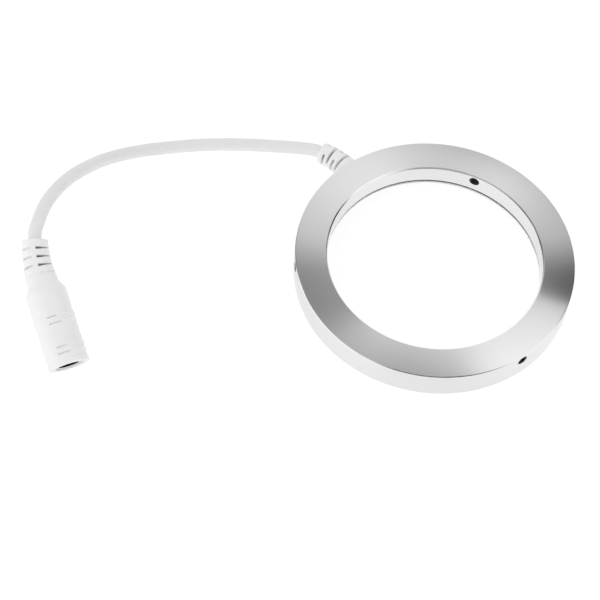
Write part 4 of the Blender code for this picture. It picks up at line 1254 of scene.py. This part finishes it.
floor_mesh = bpy.data.meshes.new("floor")
corners = [(-FLOOR_HALF, -FLOOR_HALF), (FLOOR_HALF, -FLOOR_HALF), (FLOOR_HALF, FLOOR_HALF),
           (-FLOOR_HALF, FLOOR_HALF)]
floor_mesh.from_pydata([(x, y, -FLOOR_DROP) for x, y in corners], [], [(0, 1, 2, 3)])
floor_mesh.materials.append(floor_paint)
floor = add_object("floor", floor_mesh)
print("floor across in m:", 2 * FLOOR_HALF)

# %% [markdown]
# Bright metal shows what stands round it, so a photographer puts it in a tent of white cloth with
# brighter and darker cards. The fans of light on the turned face are cards too: each spot of the face
# mirrors a thin stripe of the tent, and all these stripes meet at the one point of the tent that a
# flat mirror would show. So the cards for it are wedges that meet at that point, as the blades of an
# opened fan do. A few plain cards stand low round the ring for the chamfers and the walls.

# %% The cards of the tent
TENT_CLOTH = 0.66
# The point where the wedges meet, as X and Y on the dome
FAN_X = 0.0206
FAN_Y = 0.1661
# (heading from the fan's point, half width, half of its soft edge, brightness), in degrees
TENT_WEDGES = [
    (98, 78, 40, 0.92),
    (61, 55, 16, 0.74),
    (8, 63, 27, 0.98),
    (332, 55, 27, 0.60),
    (310, 51, 12, 0.02),
    (283, 56, 1, 0.82),
    (312, 26, 1, 0.87),
    (209, 20, 13, 0.21),
]
# (heading, rise, half width, half height, half of the soft side edge and top edge, brightness)
TENT_CARDS = [
    (-99, 3, 121, 25, 30, 2, 0.02),
    (251, 68, 69, 31, 20, 18, 0.35),
    (206, 4, 37, 15, 9, 8, 1.60),
    (341, 30, 23, 39, 16, 4, 1.10),
    (55, 4, 31, 8, 6, 2, 0.02),
    (275, 28.5, 25, 5, 5, 2, 0.02),
    (338, 20, 12, 6, 5, 4, 0.86),
    (18, 12, 14, 9, 5, 3, 0.02),
    (177, 26, 18, 9, 5, 4, 0.15),
]
print("tent wedges and cards:", len(TENT_WEDGES), len(TENT_CARDS))

# %% [markdown]
# A shader can hang all these cards by itself. It works out where a point of the tent lies, as a heading
# round the fan's point, and as a heading and a rise as seen from the ring. Each card is then 1 inside
# its edges and 0 outside, and mixes its brightness over what hangs behind it.

# %% The tent's cloth
tent_cloth, tree = new_tree("tent_cloth")
place = add_node(tree, "ShaderNodeNewGeometry").outputs["Position"]


def degrees_of(kind, *inputs):
    """The output of an inverse trigonometric node, in degrees."""
    angle = add_node(tree, "ShaderNodeMath", dict(enumerate(inputs)), operation=kind)
    return add_node(tree, "ShaderNodeMath", {0: angle.outputs[0]}, operation="DEGREES").outputs[0]


def away_from(angle, middle):
    """How many degrees an angle lies from the middle, either way round."""
    off = add_node(tree, "ShaderNodeMath", {0: angle, 1: middle}, operation="SUBTRACT")
    shorter = add_node(tree, "ShaderNodeMath", {0: off.outputs[0], 1: 180.0}, operation="PINGPONG")
    return shorter.outputs[0]


def inside(distance, half_width, soft):
    """1 inside a card and 0 outside, with a soft edge between."""
    edge = {"Value": distance, "From Min": half_width - soft, "From Max": half_width + soft,
            "To Min": 1.0, "To Max": 0.0}
    return add_node(tree, "ShaderNodeMapRange", edge, interpolation_type="SMOOTHSTEP").outputs[0]


from_fan = add_node(tree, "ShaderNodeVectorMath", {0: place, 1: (FAN_X, FAN_Y, 0)}, operation="SUBTRACT")
from_fan = add_node(tree, "ShaderNodeSeparateXYZ", {0: from_fan.outputs[0]})
fan_heading = degrees_of("ARCTAN2", from_fan.outputs["Y"], from_fan.outputs["X"])
outward = add_node(tree, "ShaderNodeVectorMath", {0: place}, operation="NORMALIZE")
split = add_node(tree, "ShaderNodeSeparateXYZ", {0: outward.outputs[0]})
heading = degrees_of("ARCTAN2", split.outputs["Y"], split.outputs["X"])
rise = degrees_of("ARCSINE", split.outputs["Z"])

light = TENT_CLOTH
for middle, half_width, soft, brightness in TENT_WEDGES:
    wedge = inside(away_from(fan_heading, middle), half_width, soft)
    light = add_node(tree, "ShaderNodeMix", {0: wedge, 2: light, 3: brightness}).outputs[0]
for middle, height, half_width, half_height, side_edge, top_edge, brightness in TENT_CARDS:
    across = inside(away_from(heading, middle), half_width, side_edge)
    upward = inside(away_from(rise, height), half_height, top_edge)
    card = add_node(tree, "ShaderNodeMath", {0: across, 1: upward}, operation="MULTIPLY")
    light = add_node(tree, "ShaderNodeMix", {0: card.outputs[0], 2: light, 3: brightness}).outputs[0]
glow = add_node(tree, "ShaderNodeEmission", {"Strength": light})
add_node(tree, "ShaderNodeOutputMaterial", {"Surface": glow.outputs[0]})
tent_cloth.cycles.emission_sampling = "NONE"
print("nodes of the tent:", len(tree.nodes))

# %% [markdown]
# The cloth hangs on the upper half of a sphere round the ring. Only reflections see it: the camera
# looks through it, and it neither lights nor shades what isn't metal.

# %% The tent's dome
TENT_RADIUS = 0.3
TENT_SEGMENTS = 96
TENT_RINGS = 60
dome = bmesh.new()
bmesh.ops.create_uvsphere(dome, u_segments=TENT_SEGMENTS, v_segments=TENT_RINGS, radius=TENT_RADIUS)
bmesh.ops.bisect_plane(dome, geom=dome.verts[:] + dome.edges[:] + dome.faces[:], plane_co=(0, 0, 0),
                       plane_no=(0, 0, 1), clear_inner=True)
tent_mesh = bpy.data.meshes.new("light_tent")
dome.to_mesh(tent_mesh)
dome.free()
tent_mesh.materials.append(tent_cloth)
tent = add_object("light_tent", tent_mesh)
tent.visible_camera = False
tent.visible_diffuse = False
tent.visible_transmission = False
tent.visible_volume_scatter = False
tent.visible_shadow = False
print("tent faces:", len(tent_mesh.polygons))

# %% [markdown]
# The room is an even white, a little dimmer than the floor, and one soft lamp stands low on the left
# in front. So the light comes from all round, and a round piece turns a little darker on its right.

# %% The room and its lamp
WHITE = (1, 1, 1, 1)
ROOM_LIGHT = 0.82
LAMP_HEADING = 217.0
LAMP_RISE = 31.0
LAMP_DISTANCE = 0.9
LAMP_WIDTH = 0.6
LAMP_WATTS = 1.0

world = bpy.data.worlds.new("white_room")
bpy.context.scene.world = world
world.use_nodes = True
tree = world.node_tree
tree.nodes.clear()
rays = add_node(tree, "ShaderNodeLightPath")
fill = add_node(tree, "ShaderNodeBackground", {"Color": WHITE, "Strength": ROOM_LIGHT})
white = add_node(tree, "ShaderNodeBackground", {"Color": WHITE, "Strength": 1.0})
room = add_node(tree, "ShaderNodeMixShader", {0: rays.outputs["Is Camera Ray"], 1: fill.outputs[0],
                                              2: white.outputs[0]})
add_node(tree, "ShaderNodeOutputWorld", {"Surface": room.outputs[0]})

lamp_light = bpy.data.lights.new("soft_lamp", "AREA")
lamp_light.energy = LAMP_WATTS
lamp_light.size = LAMP_WIDTH
toward_lamp = bearing(LAMP_HEADING, LAMP_RISE)
lamp = add_object("soft_lamp", lamp_light, axis_frame(toward_lamp * LAMP_DISTANCE, toward_lamp))
lamp.visible_glossy = False
print("room light:", ROOM_LIGHT, "lamp watts:", LAMP_WATTS)

# %% [markdown]
# Standard leaves the colours as the light makes them.

# %% Finish
bpy.context.scene.view_settings.view_transform = "Standard"
